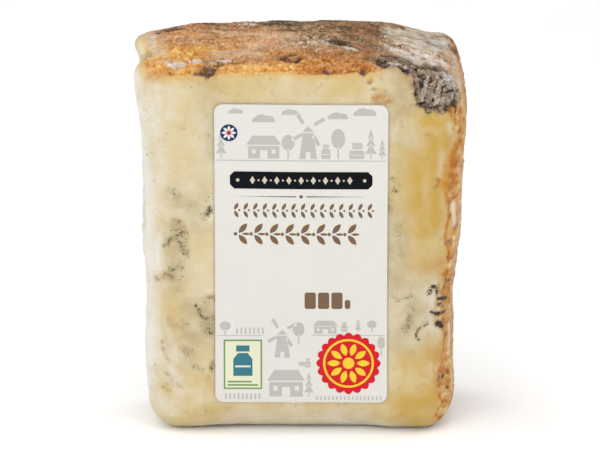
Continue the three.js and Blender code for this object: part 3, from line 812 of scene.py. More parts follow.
def rind_shares(s):
    """Orange near the front edge and at the left, brown and soot at the back, mould over the right."""
    x = s.points[:, 0]
    wander = x + 3.0 * s.drift
    over_top = s.from_front / s.thickness
    band = 6.0 + 5.0 * smoothstep(x, -6, 4)
    orange = smoothstep(s.over_edge + 2.5 * s.drift, band, 0.3 * band) * (1 - smoothstep(x, 14.5, 21))
    at_left = smoothstep(-wander, 18, 23) * smoothstep(s.over_edge + 2.0 * s.drift, 19, 14)
    orange = np.maximum(orange, at_left) * s.on_top + 0.9 * (1 - s.on_top) * smoothstep(s.drift, -0.3, 0.7)
    amber = s.painted(AMBER)
    brown = s.on_top * smoothstep(over_top + 0.12 * s.drift, 0.3, 0.6) * smoothstep(wander, -12, -2)
    brown = np.maximum(brown, 0.5 * s.on_top * smoothstep(wander, -6, 4) * smoothstep(over_top, 0.02, 0.2))
    soot = s.on_top * smoothstep(over_top + 0.1 * s.noise(6, 2, 9), 0.62, 0.9) * smoothstep(x, -30, -18)
    soot = soot * (0.75 - 0.5 * smoothstep(x, 14, 22))
    soot = np.maximum(soot, 0.8 * s.behind * s.patches(8, 3, 77, 0.15, 0.9))
    return {
        "rind": s.rind, "streaky": s.streaky, "amber": amber,
        "orange": np.clip(orange + amber, 0, 1.2),
        "brown": np.maximum(brown, 0.6 * s.behind * s.patches(10, 3, 21, -0.2, 0.7)),
        "soot": np.maximum(soot, s.painted(SOOT)),
        "bloom": np.maximum(s.painted(BLOOM), s.behind * s.patches(11, 3, 40, -0.1, 0.8)),
        "burnt": smoothstep(x + 2 * s.drift, -6, 6),
        "beside": s.beside * (1 - 0.75 * s.behind),
    }


def paste_shares(s):
    """Veins, stains and soft patches. The faces that the photograph hides have theirs at random."""
    rng = np.random.default_rng(11)
    veins = VEINS + wandering_veins(rng, "back", (-32, 30), (6, 82), 34)
    veins += wandering_veins(rng, "nose", (-12, 6), (8, 82), 12)
    veins += wandering_veins(rng, "base", (-30, 28), (-12, 10), 12)
    hidden = smoothstep(s.out[:, 1], 0.35, 0.75) + smoothstep(-s.out[:, 2], 0.3, 0.8)
    hidden += smoothstep(-s.out[:, 0], 0.5, 0.9) * smoothstep(s.from_front, 19, 25)
    hidden = np.clip(hidden, 0, 1)
    wide = s.noise(22, 2, 5)
    ochre = 0.6 * smoothstep(wide, 0.0, 0.9) + 0.8 * smoothstep(-s.rind, 9, 1)
    return {
        # the dark marks: dark mould, with painted shade in pits and under the broken rind's edge
        "vein": s.painted(veins), "stain": s.painted(STAINS), "dark_spots_and_shade": s.painted(DARK_SPOTS_AND_SHADE),
        "ochre": s.painted(OCHRE) + hidden * ochre,
        # pale paste and rind, with painted sheen along the edges and the nose and painted light along the
        # bottom
        "pale_and_painted_light": s.painted(PALE_AND_PAINTED_LIGHT) + hidden * 0.45 * smoothstep(-wide, 0.1, 0.9),
        "dull": s.painted(DULL) + hidden * 0.6 * s.patches(17, 2, 60, 0.1, 0.8),
    }


def rough_rind(s, orange):
    """Relief and shares of the rind's grains, of two sizes, and of the streaks over the right of the top."""
    x, y, z = s.points.T
    pushed = s.points + 0.5 * np.stack([s.noise(1.6, 2, 31 * axis) for axis in range(3)], axis=1)
    nearest, _, owner = cells(pushed, 1.7)
    finer, _, finer_owner = cells(pushed, 0.95, seed=3)
    grain = 0.6 * np.clip(1.1 - nearest + 0.35 * owner, 0, 1.4)
    grain += 0.4 * np.clip(1.0 - finer + 0.3 * finer_owner, 0, 1.2)
    smoother = (1 - 0.6 * s.streaky) * (1 - 0.75 * s.beside * (1 - s.behind))
    grainy = np.clip(orange * 1.1 + 0.35, 0.35, 1) * smoother
    run = np.clip(x - STREAKS_BEND, 0, None)
    across = (y + STREAKS_FALL * run**2) / np.sqrt(1 + (2 * STREAKS_FALL * run) ** 2)
    flow = np.stack([0.2 * x, across, 0.6 * z], axis=1)
    streaks = rough_noise(flow + 13, 2.4, 3)
    relief = 0.26 * s.noise(5.5, 3) + 0.75 * (grain - 0.6) * grainy + 0.07 * streaks * s.streaky
    return relief, {"grain": grain, "flow": flow, "streaks": 0.5 + 0.5 * streaks}


def broken_rind(s, crumbs):
    """Relief and shares of the blocks and chips that the rind breaks into, and of the cracks between."""
    blocks, block_gap, block_owner = cells(s.points + 0.5 * swell(s.points, 2.0)[:, None], 2.7, seed=5)
    chips, chip_gap, chip_owner = cells(s.points, 1.15, seed=9)
    crack = 1 - smoothstep(block_gap - blocks, 0.02, 0.34)
    chip = 1 - smoothstep(chip_gap - chips, 0.02, 0.4)
    relief = 0.4 * block_owner - 1.0 * crack + 0.3 * chip_owner - 0.5 * chip - 0.5
    # the share of the cracks between blocks and chips is painted shade in them
    return relief, {
        "crumb": smoothstep(crumbs, 0.15, 0.5), "tone": 0.35 + 0.35 * block_owner + 0.15 * chip_owner,
        "gap": np.clip(np.maximum(crack, 0.8 * chip) * smoothstep(crumbs, 0.2, 0.5), 0, 1),
    }


def looks(s):
    """What covers each point of a surface: shares, about 0 to 1, by name, and the relief in millimetres."""
    crumbs = s.painted(CRUMBS)
    crumbs = np.clip(crumbs + 0.35 * smoothstep(crumbs, 0.05, 0.3) * s.noise(2.4, 3, 15), 0, 1)
    shares = rind_shares(s) | paste_shares(s)
    rough_relief, rough_shares = rough_rind(s, shares["orange"])
    broken_relief, broken_shares = broken_rind(s, crumbs)
    relief = 0.07 * s.noise(7, 2) - 0.25 * np.clip(shares["vein"], 0, 1)
    relief = lerp(relief, rough_relief, smoothstep(s.rind, -0.4, 0.6))
    relief = lerp(relief, broken_relief, smoothstep(crumbs, 0.25, 0.6))
    relief += s.painted(RELIEF, added=True) * (1 + 0.3 * s.noise(1.2, 2))
    relief = lerp(relief, -0.05, s.under_label())
    relief = lerp(relief, np.minimum(relief, 0), smoothstep(s.points[:, 2], 2.5, 0.5))  # off the floor
    # the last share is painted shade, darker the lower the relief sinks
    return shares | rough_shares | broken_shares | {"cavity_shade": smoothstep(-relief, 0.15, 1.3)}, relief


# ---- Materials of the cheese, the film and the label ----


def crumb_colour(g, fine):
    """Broken rind: each crumb of its own grey or beige."""
    return g.ramp(
        g.average(g.attribute("tone"), fine, 0.45), (0.05, 80, 52, 34), (0.3, 140, 110, 76),
        (0.55, 180, 158, 122), (0.75, 198, 186, 164), (0.95, 232, 224, 216),
    )


def crumb_material():
    g = Graph("crumbs")
    fine = g.noise(0.8, 4, 0.7, shift=3)
    pits = g.noise(0.4, 3, 0.6, shift=8)
    patches = g.noise(2.0, 3, 0.6, shift=40)
    colour = g.coats(
        crumb_colour(g, fine),
        (g.step(patches, 0.45, 0.2, 0.0, 0.5), (150, 138, 142)),
        (g.step(patches, 0.6, 0.8, 0.0, 0.3), (140, 104, 62)),
        (g.step(pits, 0.5, 0.15, 0.0, 0.6), (82, 58, 42)),
    )
    roughness = g.step(fine, 0.0, 1.0, 0.45, 0.65)
    return g.principled(
        Base_Color=colour, Roughness=roughness, Normal=g.bump(fine, 0.25, 0.9), Specular_IOR_Level=0.4
    )


class CheeseGraph(Graph):
    """The material of the cheese: the noises that its parts share, and the colours of those parts."""

    def __init__(self):
        super().__init__("cheese")
        self.speck = self.noise(0.5, 2, 0.6, shift=71, place=self.stretched)
        self.fine = self.noise(1.0, 4, 0.65, shift=3, place=self.stretched)
        self.other = self.noise(2.2, 3, 0.6, shift=47, place=self.stretched)
        self.medium = self.noise(3.6, 4, 0.55, shift=11)
        self.broad = self.noise(13, 3, 0.5, distortion=0.6, shift=23)
        self.mottle = self.average(self.fine, self.speck, 0.4)
        streak = self.noise(1.7, 4, 0.62, place=self.attribute("flow", "Vector"), shift=31)
        self.streak = self.average(streak, self.attribute("streaks"), 0.4)
        self.grain = self.average(self.pebbles(0.8, 0.25), self.attribute("grain"), 0.55)

    def above(self, noise, low, high, most):
        """A share that grows to most as the noise passes from low to high."""
        return self.step(noise, low, high, 0.0, most)

    def paste(self):
        """Cream, deeper and lighter in soft clouds."""
        cream = self.ramp(
            self.average(self.broad, self.medium, 0.35),
            (0.1, 235, 221, 188), (0.5, 227, 209, 166), (0.9, 221, 199, 146),
        )
        return self.coats(
            cream,
            (self.covering("dull", self.medium, 0.65, 1.0), (192, 174, 134)),
            (self.covering("ochre", self.medium, 0.9, 1.05), (205, 166, 76)),
            # pale paste, with painted sheen and painted light where the pale marks lie on the edges and the
            # bottom
            (self.covering("pale_and_painted_light", self.medium, 1.1, 0.75), (240, 234, 220)),
            (self.covering("stain", self.fine, 0.3, 1.5), (165, 124, 68)),
        )

    def tan(self):
        """The plain rind."""
        colour = self.ramp(
            self.mottle, (0.05, 134, 82, 46), (0.3, 186, 128, 80), (0.55, 208, 154, 102),
            (0.78, 226, 182, 134), (0.97, 248, 224, 192),
        )
        return self.coats(
            colour,
            (self.above(self.other, 0.55, 0.8, 0.6), (218, 146, 72)),
            (self.above(self.other, 0.38, 0.12, 0.4), (190, 154, 126)),
            (self.line_at(self.streak, 0.5, 0.05, 0.4), (150, 96, 60)),
        )

    def orange(self):
        colour = self.ramp(
            self.average(self.grain, self.mottle, 0.45), (0.05, 158, 90, 34), (0.28, 208, 136, 56),
            (0.52, 229, 165, 70), (0.76, 240, 190, 104), (0.97, 250, 222, 160),
        )
        burnt = self.times(self.attribute("burnt"), self.step(self.medium, 0.2, 0.8, 0.7, 1.0))
        burnt = self.math("MAXIMUM", burnt, self.covering("amber", self.mottle, 0.6, 0.9))
        toasted = self.ramp(self.mottle, (0.1, 124, 58, 16), (0.5, 180, 100, 28), (0.9, 228, 158, 78))
        return self.coats(
            colour,
            (self.above(self.other, 0.6, 0.85, 0.35), (214, 150, 98)),
            (burnt, toasted),
            # pale rind, with painted sheen where the pale marks lie on the edges
            (self.covering("pale_and_painted_light", self.mottle, 0.5, 0.8), (246, 220, 170)),
        )

    def brown(self):
        streaked = self.average(self.mottle, self.streak, self.times(self.attribute("streaky"), 0.7))
        colour = self.ramp(
            streaked, (0.05, 62, 42, 26), (0.28, 124, 82, 48), (0.52, 168, 120, 76), (0.75, 198, 152, 106),
            (0.95, 228, 202, 170),
        )
        return self.coats(
            colour,
            (self.above(self.other, 0.45, 0.2, 0.6), (112, 92, 58)),
            (self.above(self.other, 0.6, 0.85, 0.5), (176, 122, 84)),
            (self.line_at(self.streak, 0.5, 0.06, 0.4), (80, 58, 34)),
            (self.line_at(self.streak, 0.66, 0.07, 0.7), (220, 190, 150)),
        )

    def mould(self):
        clouds = self.average(self.average(self.other, self.medium, 0.4), self.streak, 0.5)
        colour = self.ramp(
            clouds, (0.1, 184, 156, 122), (0.32, 212, 194, 164), (0.52, 224, 210, 190), (0.75, 236, 225, 218)
        )
        return self.coats(
            colour,
            (self.line_at(self.streak, 0.5, 0.1, 0.5), (162, 128, 80)),
            (self.above(self.speck, 0.2, 0.05, 0.6), (116, 90, 66)),
        )

    def oily(self):
        """The outer rind beside the front face."""
        colour = self.ramp(
            self.average(self.other, self.mottle, 0.4), (0.08, 160, 88, 24), (0.3, 204, 136, 50),
            (0.5, 220, 166, 82), (0.7, 230, 190, 120), (0.95, 244, 220, 176),
        )
        return self.coats(
            colour,
            (self.above(self.medium, 0.55, 0.85, 0.5), (222, 164, 116)),
            (self.covering("amber", self.mottle, 0.5, 1.0), (192, 106, 14)),
            # pale rind, with painted sheen and highlight where the pale marks lie along the right edge
            (self.covering("pale_and_painted_light", self.medium, 0.8, 1.0), (246, 232, 206)),
        )

    def rind(self):
        sooty = self.above(self.average(self.streak, self.speck), 0.45, 0.7, 1.2)
        return self.coats(
            self.tan(),
            (self.covering("brown", self.medium, 0.8, 1.2), self.brown()),
            # pale rind, with painted sheen where the pale marks lie on the edges
            (self.covering("pale_and_painted_light", self.mottle, 0.5, 0.85), (238, 200, 160)),
            (self.covering("orange", self.medium, 0.75, 1.2), self.orange()),
            (self.blot("bloom", self.mottle, 1.0), self.mould()),
            (self.times(self.attribute("soot"), sooty, clamp=True), (74, 64, 44)),
            (self.covering("beside", self.medium, 0.8, 1.2), self.oily()),
            (self.attribute("crumb"), crumb_colour(self, self.fine)),
        )

    def with_veins(self, colour, near_rind):
        """A soft smudge, blue-green grains in it and nearly black hearts, browner near the rind."""
        vein = self.attribute("vein")
        smudge = self.times(self.step(vein, 0.05, 0.9, 0.0, 0.6), self.step(self.medium, 0.2, 0.8, 0.7, 1.1))
        grains = self.average(self.noise(0.42, 2, 0.6, shift=51), self.noise(1.0, 2, 0.6, shift=63), 0.4)
        grains = self.times(self.shaken(vein, grains, 1.8), self.step(vein, 0.02, 0.12))
        return self.coats(
            colour,
            (smudge, (158, 148, 108)),
            (self.above(grains, 0.55, 1.15, 0.8), self.mix(near_rind, (106, 92, 58), (120, 84, 58))),
            (self.above(grains, 1.15, 1.65, 0.95), self.mix(near_rind, (36, 24, 12), (58, 32, 16))),
        )


def cheese_material():
    g = CheeseGraph()
    edge = g.shaken(g.attribute("rind"), g.fine, 0.9)
    on_rind = g.step(edge, -0.25, 0.55)
    near_rind = g.step(edge, -3.2, 0.2)
    paste = g.coats(
        g.paste(),
        (g.times(near_rind, 0.75), g.mix(g.attribute("dull"), (217, 172, 88), (170, 144, 116))),
        (g.covering("amber", g.fine, 0.55, 1.25), (204, 130, 30)),
        (g.blot("crumb", g.other, 0.75), (166, 142, 112)),
    )
    colour = g.with_veins(g.mix(on_rind, paste, g.rind()), near_rind)
    # near-black colour of the dark marks: dark mould, and painted shade in pits and under the broken rind's
    # edge
    dark_spot_and_shade_colour = g.mix(g.step(g.other, 0.55, 0.8), (76, 44, 32), (98, 80, 80))
    # painted shade: the cracks between crumbs and the low places of the relief darkened towards near black
    gap = g.math("MAXIMUM", g.times(g.attribute("gap"), 0.7), g.times(g.attribute("cavity_shade"), 0.4))
    colour = g.coats(colour, (g.blot("dark_spots_and_shade", g.mottle, 0.9), dark_spot_and_shade_colour), (gap, (60, 42, 36)))

    rough = g.times(g.math("ADD", g.grain, g.mottle), 0.5)
    soft = g.math("MULTIPLY_ADD", g.medium, 0.5, g.times(g.fine, 0.05))
    height = g.math("ADD", g.times(rough, on_rind), g.times(soft, g.math("SUBTRACT", 1.0, on_rind)))
    return g.principled(
        Base_Color=colour,
        Roughness=g.shaken(g.step(on_rind, 0.0, 1.0, 0.38, 0.6), g.fine, 0.15),
        Normal=g.bump(height, 0.3, 0.7),
        Subsurface_Weight=0.1,
        Subsurface_Radius=(1.0, 0.6, 0.3),
        Subsurface_Scale=1.0 * MM,
        Specular_IOR_Level=0.12,
    )


def film_material():
    g = Graph("film")
    creases = g.noise(1.6, 2, stretch=(1.0, 1.0, 4.0), shift=9)
    normal = g.bump(g.math("MULTIPLY_ADD", creases, 0.3, g.noise(6, 3)), 0.5, 0.35)
    roughness = g.step(g.noise(4, 3, shift=5), 0.3, 0.7, 0.1, 0.2)
    gloss = g.add("BsdfGlossy", Color=(0.9, 0.9, 0.9, 1), Roughness=roughness, Normal=normal)
    clear = g.add("BsdfTransparent", Color=(1.0, 1.0, 1.0, 1))
    # a thin film mirrors alike from both sides, which a Fresnel node does not
    aslant = g.add("LayerWeight", Blend=0.5, Normal=normal).outputs["Facing"]
    mirrored = g.math("MULTIPLY_ADD", g.math("POWER", aslant, 5.0), 0.15, 0.012)
    return g.cover(g.add("MixShader", mirrored, clear.outputs[0], gloss.outputs[0]))


def paper_material(name, colour, gloss=0.45, sheen=0.35):
    """Satin printed paper of one colour, with faint fibres."""
    g = Graph(name)
    fibre = g.noise(0.35, 3, 0.6, stretch=(2.5, 1.0, 1.0))
    dimmer = (*(0.96 * c for c in colour[:3]), 1.0)
    return g.principled(
        Base_Color=g.mix(g.times(g.math("ADD", fibre, g.noise(7, 2)), 0.5), colour, dimmer),
        Roughness=g.step(fibre, 0.3, 0.7, gloss - 0.04, gloss + 0.06),
        Normal=g.bump(fibre, 0.02, 0.4),
        Specular_IOR_Level=sheen,
    )


def floor_material():
    g = Graph("floor")
    mottle = g.noise(60, 3)
    tint = g.mix(mottle, (0.93, 0.93, 0.93, 1), (0.95, 0.95, 0.95, 1))
    roughness = g.step(mottle, 0.3, 0.7, 0.55, 0.65)
    return g.principled(Base_Color=tint, Roughness=roughness, Normal=g.bump(mottle, 0.05, 0.2))


# ---- The label and its print ----

LABEL_CORNER, LABEL_WAIST = 2.0, 0.12
LABEL_GAP, LABEL_THICKNESS = 0.15, 0.22
PAPER_FRONT = LABEL_GAP + LABEL_THICKNESS
PRINT_THICKNESS = 0.02
PRINT_ROOT = 0.05  # how far print reaches into the paper, so that no gap shows
CURVE_STEP = 1.8
GRID_START = 0.7  # from the left and the bottom of a shape to its grid of inner points
BADGE_X, BADGE_Z, BADGE_RADIUS = 11.0, 17.7, 7.5
PANEL = (-18.0, 11.4, -9.1, 23.4)
EMBLEM_X, EMBLEM_Z, EMBLEM_RADIUS = -16.6, 73.0, 2.0
PLATE_Z = 61.85


def round_outline(x, z, count, radius_at):
    """A closed outline round (x, z), from its radius at each angle."""
    angles = np.arange(count) * 2 * math.pi / count
    return [(x + radius_at(a) * math.cos(a), z + radius_at(a) * math.sin(a)) for a in angles]


def circle(x, z, radius, count=40):
    return round_outline(x, z, count, lambda angle: radius)


def scalloped(x, z, radius, scallops, depth):
    def radius_at(angle):
        return radius - depth * (1 - abs(math.cos(scallops / 2 * angle)))

    return round_outline(x, z, 6 * scallops, radius_at)


def rectangle(x0, z0, x1, z1):
    return [(x0, z0), (x1, z0), (x1, z1), (x0, z1)]


def rounded(x0, z0, x1, z1, radius, count=6):
    points = []
    left, right, low, high = x0 + radius, x1 - radius, z0 + radius, z1 - radius
    for quarter, (x, z) in enumerate(((right, high), (left, high), (left, low), (right, low))):
        for k in range(count + 1):
            a = math.radians(90 * (quarter + k / count))
            points.append((x + radius * math.cos(a), z + radius * math.sin(a)))
    return points


def even(x, z, *right):
    """An outline that is the same to both sides of x, from the points of its right half, bottom to top, as
    how far they lie to the side and above z."""
    left = [(-u, v) for u, v in right[::-1] if u]
    return [(x + u, z + v) for u, v in (*right, *left)]


def lozenge(x, z, half_width, half_height):
    return even(x, z, (0, -half_height), (half_width, 0), (0, half_height))


def leaf(x, z, length, width, angle, count=7):
    """A pointed leaf from (x, z) outwards at an angle in degrees."""
    cos, sin = math.cos(math.radians(angle)), math.sin(math.radians(angle))
    side = [(length * t, width / 2 * math.sin(math.pi * t) ** 0.8) for t in np.linspace(0, 1, count)[1:-1]]
    outline = [(0.0, 0.0), *side, (length, 0.0)] + [(u, -v) for u, v in side[::-1]]
    return [(x + u * cos - v * sin, z + u * sin + v * cos) for u, v in outline]


def petals(x, z, inner, length, width, count):
    made = []
    for angle in np.arange(count) * 360 / count:
        a = math.radians(angle)
        made.append(leaf(x + inner * math.cos(a), z + inner * math.sin(a), length, width, angle))
    return made


def tree(x, base, height, width):
    trunk = even(x, base, (0.18, 0), (0.18, 0.4 * height))
    angles = np.arange(16) * math.pi / 8
    crown = [(x + width / 2 * math.cos(a), base + (0.68 + 0.34 * math.sin(a)) * height) for a in angles]
    return [trunk, crown]


def fir(x, base, height, width):
    trunk = even(x, base, (0.15, 0), (0.15, 0.2 * height))
    tiers = [((0.17 + 0.25 * k) * height, (0.5 - 0.12 * k) * width) for k in range(3)]
    return [trunk] + [even(x, base + low, (half, 0), (0, 0.33 * height)) for low, half in tiers]


def barn(x, base, width, height):
    middle = x + width / 2
    wall = rectangle(x, base, x + width, base + 0.55 * height)
    door = even(middle, base, (0.12 * width, 0.02), (0.12 * width, 0.36 * height))
    roof = even(middle, base, (0.56 * width, 0.6 * height), (0.36 * width, height))
    window = (0.06 * width, 0.22 * height), (0.06 * width, 0.4 * height)
    return [wall, door, roof] + [even(x + k * width, base, *window) for k in (0.18, 0.82)]


def churn(x, base, height):
    w = 0.3 * height
    body = even(x, base, (w, 0), (w, 0.55 * height), (0.5 * w, 0.75 * height))
    lid = even(x, base, (0.7 * w, 0.8 * height), (0.7 * w, height))
    stripe = even(x, base, (0.8 * w, 0.28 * height), (0.8 * w, 0.34 * height))
    return [body, lid, stripe]


def windmill(x, base, height):
    tower = even(x, base, (0.2 * height, 0), (0.12 * height, 0.6 * height))
    door = even(x, base, (0.05 * height, 0.02), (0.05 * height, 0.16 * height))
    cap = even(x, base, (0.13 * height, 0.63 * height), (0, 0.76 * height))
    sails = []
    hub = np.array([x, base + 0.68 * height])
    for quarter in range(4):
        a = math.radians(28 + 90 * quarter)
        along, across = np.array([math.cos(a), math.sin(a)]), np.array([-math.sin(a), math.cos(a)])
        sail = (0.17, 0), (0.44, 0), (0.44, 0.09), (0.17, 0.07)
        sails.append([tuple(hub + height * (u * along + v * across)) for u, v in sail])
    return [tower, door, cap] + sails


def fence(x0, x1, base, height):
    count = int((x1 - x0) / 0.9)
    posts = [x0 + (k + 0.5) * (x1 - x0) / count for k in range(count)]
    return [even(x, base, (0.2, 0), (0.2, 0.85 * height), (0, height)) for x in posts]


def cheese_wheel(x, base, width, height):
    band = rectangle(x + 0.3, base + 0.42 * height, x + width - 0.3, base + 0.5 * height)
    return [rounded(x, base, x + width, base + height, 0.35, 3), band]


def cloud(x, z, size):
    outline = [(-1.0, 0.0), (1.0, 0.0)]
    for a in np.linspace(0, math.pi, 15):
        puff = 1 + 0.35 * abs(math.sin(2.5 * a))
        outline.append((math.cos(a), 0.16 + 0.42 * abs(math.sin(a)) * puff))
    return [[(x + size * u, z + size * v) for u, v in outline]]


def rule(x0, x1, z, width=0.2):
    return [rectangle(x0, z, x1, z + width)]


def merged(*groups):
    return [loop for group in groups for loop in group]


def grey_scenes():
    """Two bands of small countryside pictures."""
    upper = merged(
        fir(-18.4, 67, 6.6, 2.4), barn(-12.2, 67, 7.2, 5.4), tree(-3, 67, 5.6, 3), windmill(1.6, 67, 10.2),
        churn(5.7, 67, 3.4), tree(8.5, 67, 7, 3.2), cheese_wheel(11.1, 67, 3.4, 2),
        cheese_wheel(11.7, 69.3, 2.4, 1.5), fir(16, 67, 7.2, 2.7), fir(18.6, 67, 4.8, 1.9),
        cloud(-8.6, 75.6, 2.6), cloud(-2.6, 77.4, 1.9), cloud(8.4, 76.4, 2.3), cloud(14.6, 77.2, 2.6),
        cloud(-15, 77.6, 1.7), rule(-19.4, 19.4, 66.4, 0.22),
    )
    lower = merged(
        tree(-17.6, 24.6, 3.2, 2.6), fence(-15.4, -8.4, 24.8, 1.7), windmill(-4.4, 19, 9),
        tree(-0.6, 22.4, 5.2, 2.8), barn(3, 24.9, 5.2, 3.2), churn(10, 25.4, 2.4), fir(13.2, 25.4, 3.2, 1.6),
        tree(16.4, 25.3, 2.8, 2.2), barn(-7.4, 9.6, 7.8, 6.4), fir(1.8, 9.6, 6, 2.2), churn(1.5, 16.6, 2.21),
        fence(-18, -9.2, 8.9, 1.5), cheese_wheel(-0.6, 17, 1.5, 1), tree(18.6, 19.6, 4.6, 1.8),
        fence(3.2, 19, 8.8, 1), rule(-19.4, -9, 24.3), rule(2.4, 19.4, 24.4, 0.22),
    )
    return upper + lower


def brown_ornament():
    """A tapered rule with a bead, two garlands of leaves and a short row of bars."""
    loops = [circle(0.0, 58.0, 0.42, 16)]
    loops += [[(end, 58.0), (start, 57.86), (start, 58.14)] for end, start in ((-14.7, -1.2), (14.9, 1.2))]
    for x in np.arange(-15.4, 15.5, 2.2):
        loops += [leaf(x, 54.75, 1.9, 0.8, 62), leaf(x, 54.55, 1.9, 0.8, -62)]
        loops.append(circle(x + 1.15, 54.65, 0.26, 12))
    for x in np.arange(-14.4, 13.0, 3.6):
        loops += [leaf(x, 49.2, 3.0, 1.3, 50), leaf(x, 48.8, 3.0, 1.3, -50), leaf(x + 0.7, 49.0, 2.0, 0.6, 0)]
        loops.append(circle(x - 0.75, 49.0, 0.42, 16))
    bars = ((0.8, 2.6, 4.0), (3.9, 2.6, 4.0), (7.0, 2.6, 4.0), (10.1, 1.3, 2.2))  # x, width, height
    return loops + [rounded(x, 31.0, x + width, 31.0 + height, 0.5, 4) for x, width, height in bars]


def print_fields():
    """Each field of print: its name, its colour on screen, the layer it lies in, and its loops."""
    x0, z0, x1, z1 = PANEL
    badge, emblem = (BADGE_X, BADGE_Z), (EMBLEM_X, EMBLEM_Z)
    yellow = (250, 212, 60)
    beads = [lozenge(x, PLATE_Z, 0.62, 0.95) for x in np.arange(-11.2, 11.3, 2.8)]
    beads += [circle(x, PLATE_Z, 0.24, 10) for x in np.arange(-9.8, 9.9, 2.8)]
    beads += [circle(x, PLATE_Z, 0.4, 12) for x in (-14.6, 14.6)]
    plate = even(0, PLATE_Z, (15.4, -2.05), (16.4, -1.05), (16.4, 1.05), (15.4, 2.05))
    ring = [circle(*badge, 5.9, 56), circle(*badge, 5.4, 56)] + petals(*badge, 1.9, 3.1, 1.5, 10)
    frame_lines = [rectangle(*PANEL), rectangle(x0 + 0.35, z0 + 0.35, x1 - 0.35, z1 - 0.35)]
    frame_lines += rule(x0 + 0.9, x1 - 0.9, z0 + 0.8, 0.4) + rule(x0 + 0.9, x1 - 2.4, z0 + 1.6, 0.4)
    return (
        ("print_scenes", (197, 194, 187), 1, grey_scenes()),
        ("print_plate", (8, 12, 20), 1, [plate]),
        ("print_plate_beads", (214, 205, 184), 2, beads),
        ("print_ornament", (126, 101, 78), 1, brown_ornament()),
        ("print_badge", (218, 34, 48), 2, [scalloped(*badge, BADGE_RADIUS, 20, 0.75)]),
        ("print_badge_ring", yellow, 3, ring),
        ("print_badge_heart", yellow, 3, [circle(*badge, 1.35, 28)]),
        ("print_panel", (236, 236, 208), 2, [rectangle(*PANEL)]),
        ("print_panel_frame", (126, 160, 96), 3, frame_lines),
        ("print_panel_churn", (66, 126, 140), 3, churn((x0 + x1) / 2, z0 + 3.2, 7.4)),
        ("print_emblem", (34, 52, 104), 2, [circle(*emblem, EMBLEM_RADIUS, 36)]),
        ("print_emblem_petals", (240, 238, 234), 3, petals(*emblem, 0.35, 1.35, 0.62, 8)),
        ("print_emblem_heart", (205, 40, 52), 4, [circle(*emblem, 0.5, 16)]),
    )


def spaced(path, longest):
    """Points along an open path, no further apart than longest."""
    points = []
    for a, b in zip(path[:-1], path[1:]):
        steps = max(1, math.ceil(math.dist(a, b) / longest))
        points += [(lerp(a[0], b[0], k / steps), lerp(a[1], b[1], k / steps)) for k in range(steps)]
    return points + [path[-1]]


def spaced_loop(loop):
    return spaced(loop + loop[:1], CURVE_STEP)[:-1]


def label_outline():
    """The label's outline, drawn in a little at the waist."""
    half = LABEL_WIDTH / 2
    outline = rounded(-half, LABEL_BOTTOM, half, LABEL_BOTTOM + LABEL_HEIGHT, LABEL_CORNER)
    waisted = []
    for x, z in spaced_loop(outline):
        up = (z - LABEL_MIDDLE) / (LABEL_HEIGHT / 2)
        waisted.append((x - math.copysign(LABEL_WAIST * (1 - up * up), x), z))
    return waisted


def within(points, loops):
    """Which points lie inside an odd number of the loops."""
    px, pz = np.asarray(points).T
    odd = np.zeros(len(px), bool)
    for loop in loops:
        for (a, b), (c, d) in zip(loop, loop[1:] + loop[:1]):
            if b != d:
                odd ^= ((b > pz) != (d > pz)) & (px < (c - a) * (pz - b) / (d - b) + a)
    return odd


def flat_triangles(loops):
    """Points and triangles that fill the loops, fine enough to follow the curved face. Parts of the shape
    that only meet at a corner have corners of their own."""
    loops = [spaced_loop(loop) for loop in loops]
    points, edges = [], []
    for loop in loops:
        start = len(points)
        points += loop
        edges += [(start + k, start + (k + 1) % len(loop)) for k in range(len(loop))]
    low, high = np.min(points, axis=0) + GRID_START, np.max(points, axis=0)
    xs, zs = (np.arange(low[axis], high[axis], CURVE_STEP) for axis in (0, 1))
    grid = np.array([(x, z) for x in xs for z in zs]).reshape(-1, 2)
    points += [tuple(p) for p in grid[within(grid, loops)]]
    flat, _, triangles, *_ = geometry.delaunay_2d_cdt([Vector(p) for p in points], edges, [], 0, 1e-5)
    flat, triangles = np.array([tuple(v) for v in flat]), np.array(triangles)
    triangles = triangles[within(flat[triangles].mean(axis=1), loops)]

    sheet = bmesh.new()
    corners = [sheet.verts.new((x, z, 0)) for x, z in flat]
    for triangle in triangles:
        a, b, c = flat[triangle]
        turn = np.cross(b - a, c - a)
        if abs(turn) > 1e-7:
            sheet.faces.new([corners[i] for i in (triangle if turn > 0 else triangle[::-1])])
    for corner in corners:
        rim = [edge for edge in corner.link_edges if edge.is_boundary]
        if len(rim) > 2:
            bmesh.utils.vert_separate(corner, rim)
    used = [corner for corner in sheet.verts if corner.link_faces]
    for number, corner in enumerate(used):
        corner.index = number
    flat = np.array([corner.co[:2] for corner in used])
    triangles = [[corner.index for corner in face.verts] for face in sheet.faces]
    sheet.free()
    return flat, triangles


def sheet_on_face(name, loops, inner, outer):
    """A thin closed slab over the front face, from inner to outer millimetres off it."""
    flat, triangles = flat_triangles(loops)
    x, z = flat.T
    y = front_face(x, z)
    vertices = np.vstack([np.column_stack([x, y - off, z]) for off in (outer, inner)])
    count = len(flat)
    faces = triangles + [[i + count for i in t[::-1]] for t in triangles]
    directed = {(t[k], t[(k + 1) % 3]) for t in triangles for k in range(3)}
    faces += [[b, a, a + count, b + count] for a, b in directed if (b, a) not in directed]
    piece = new_object(name, vertices, faces)
    piece.data.set_sharp_from_angle(angle=math.radians(40))
    return piece


# ---- Making the pieces ----

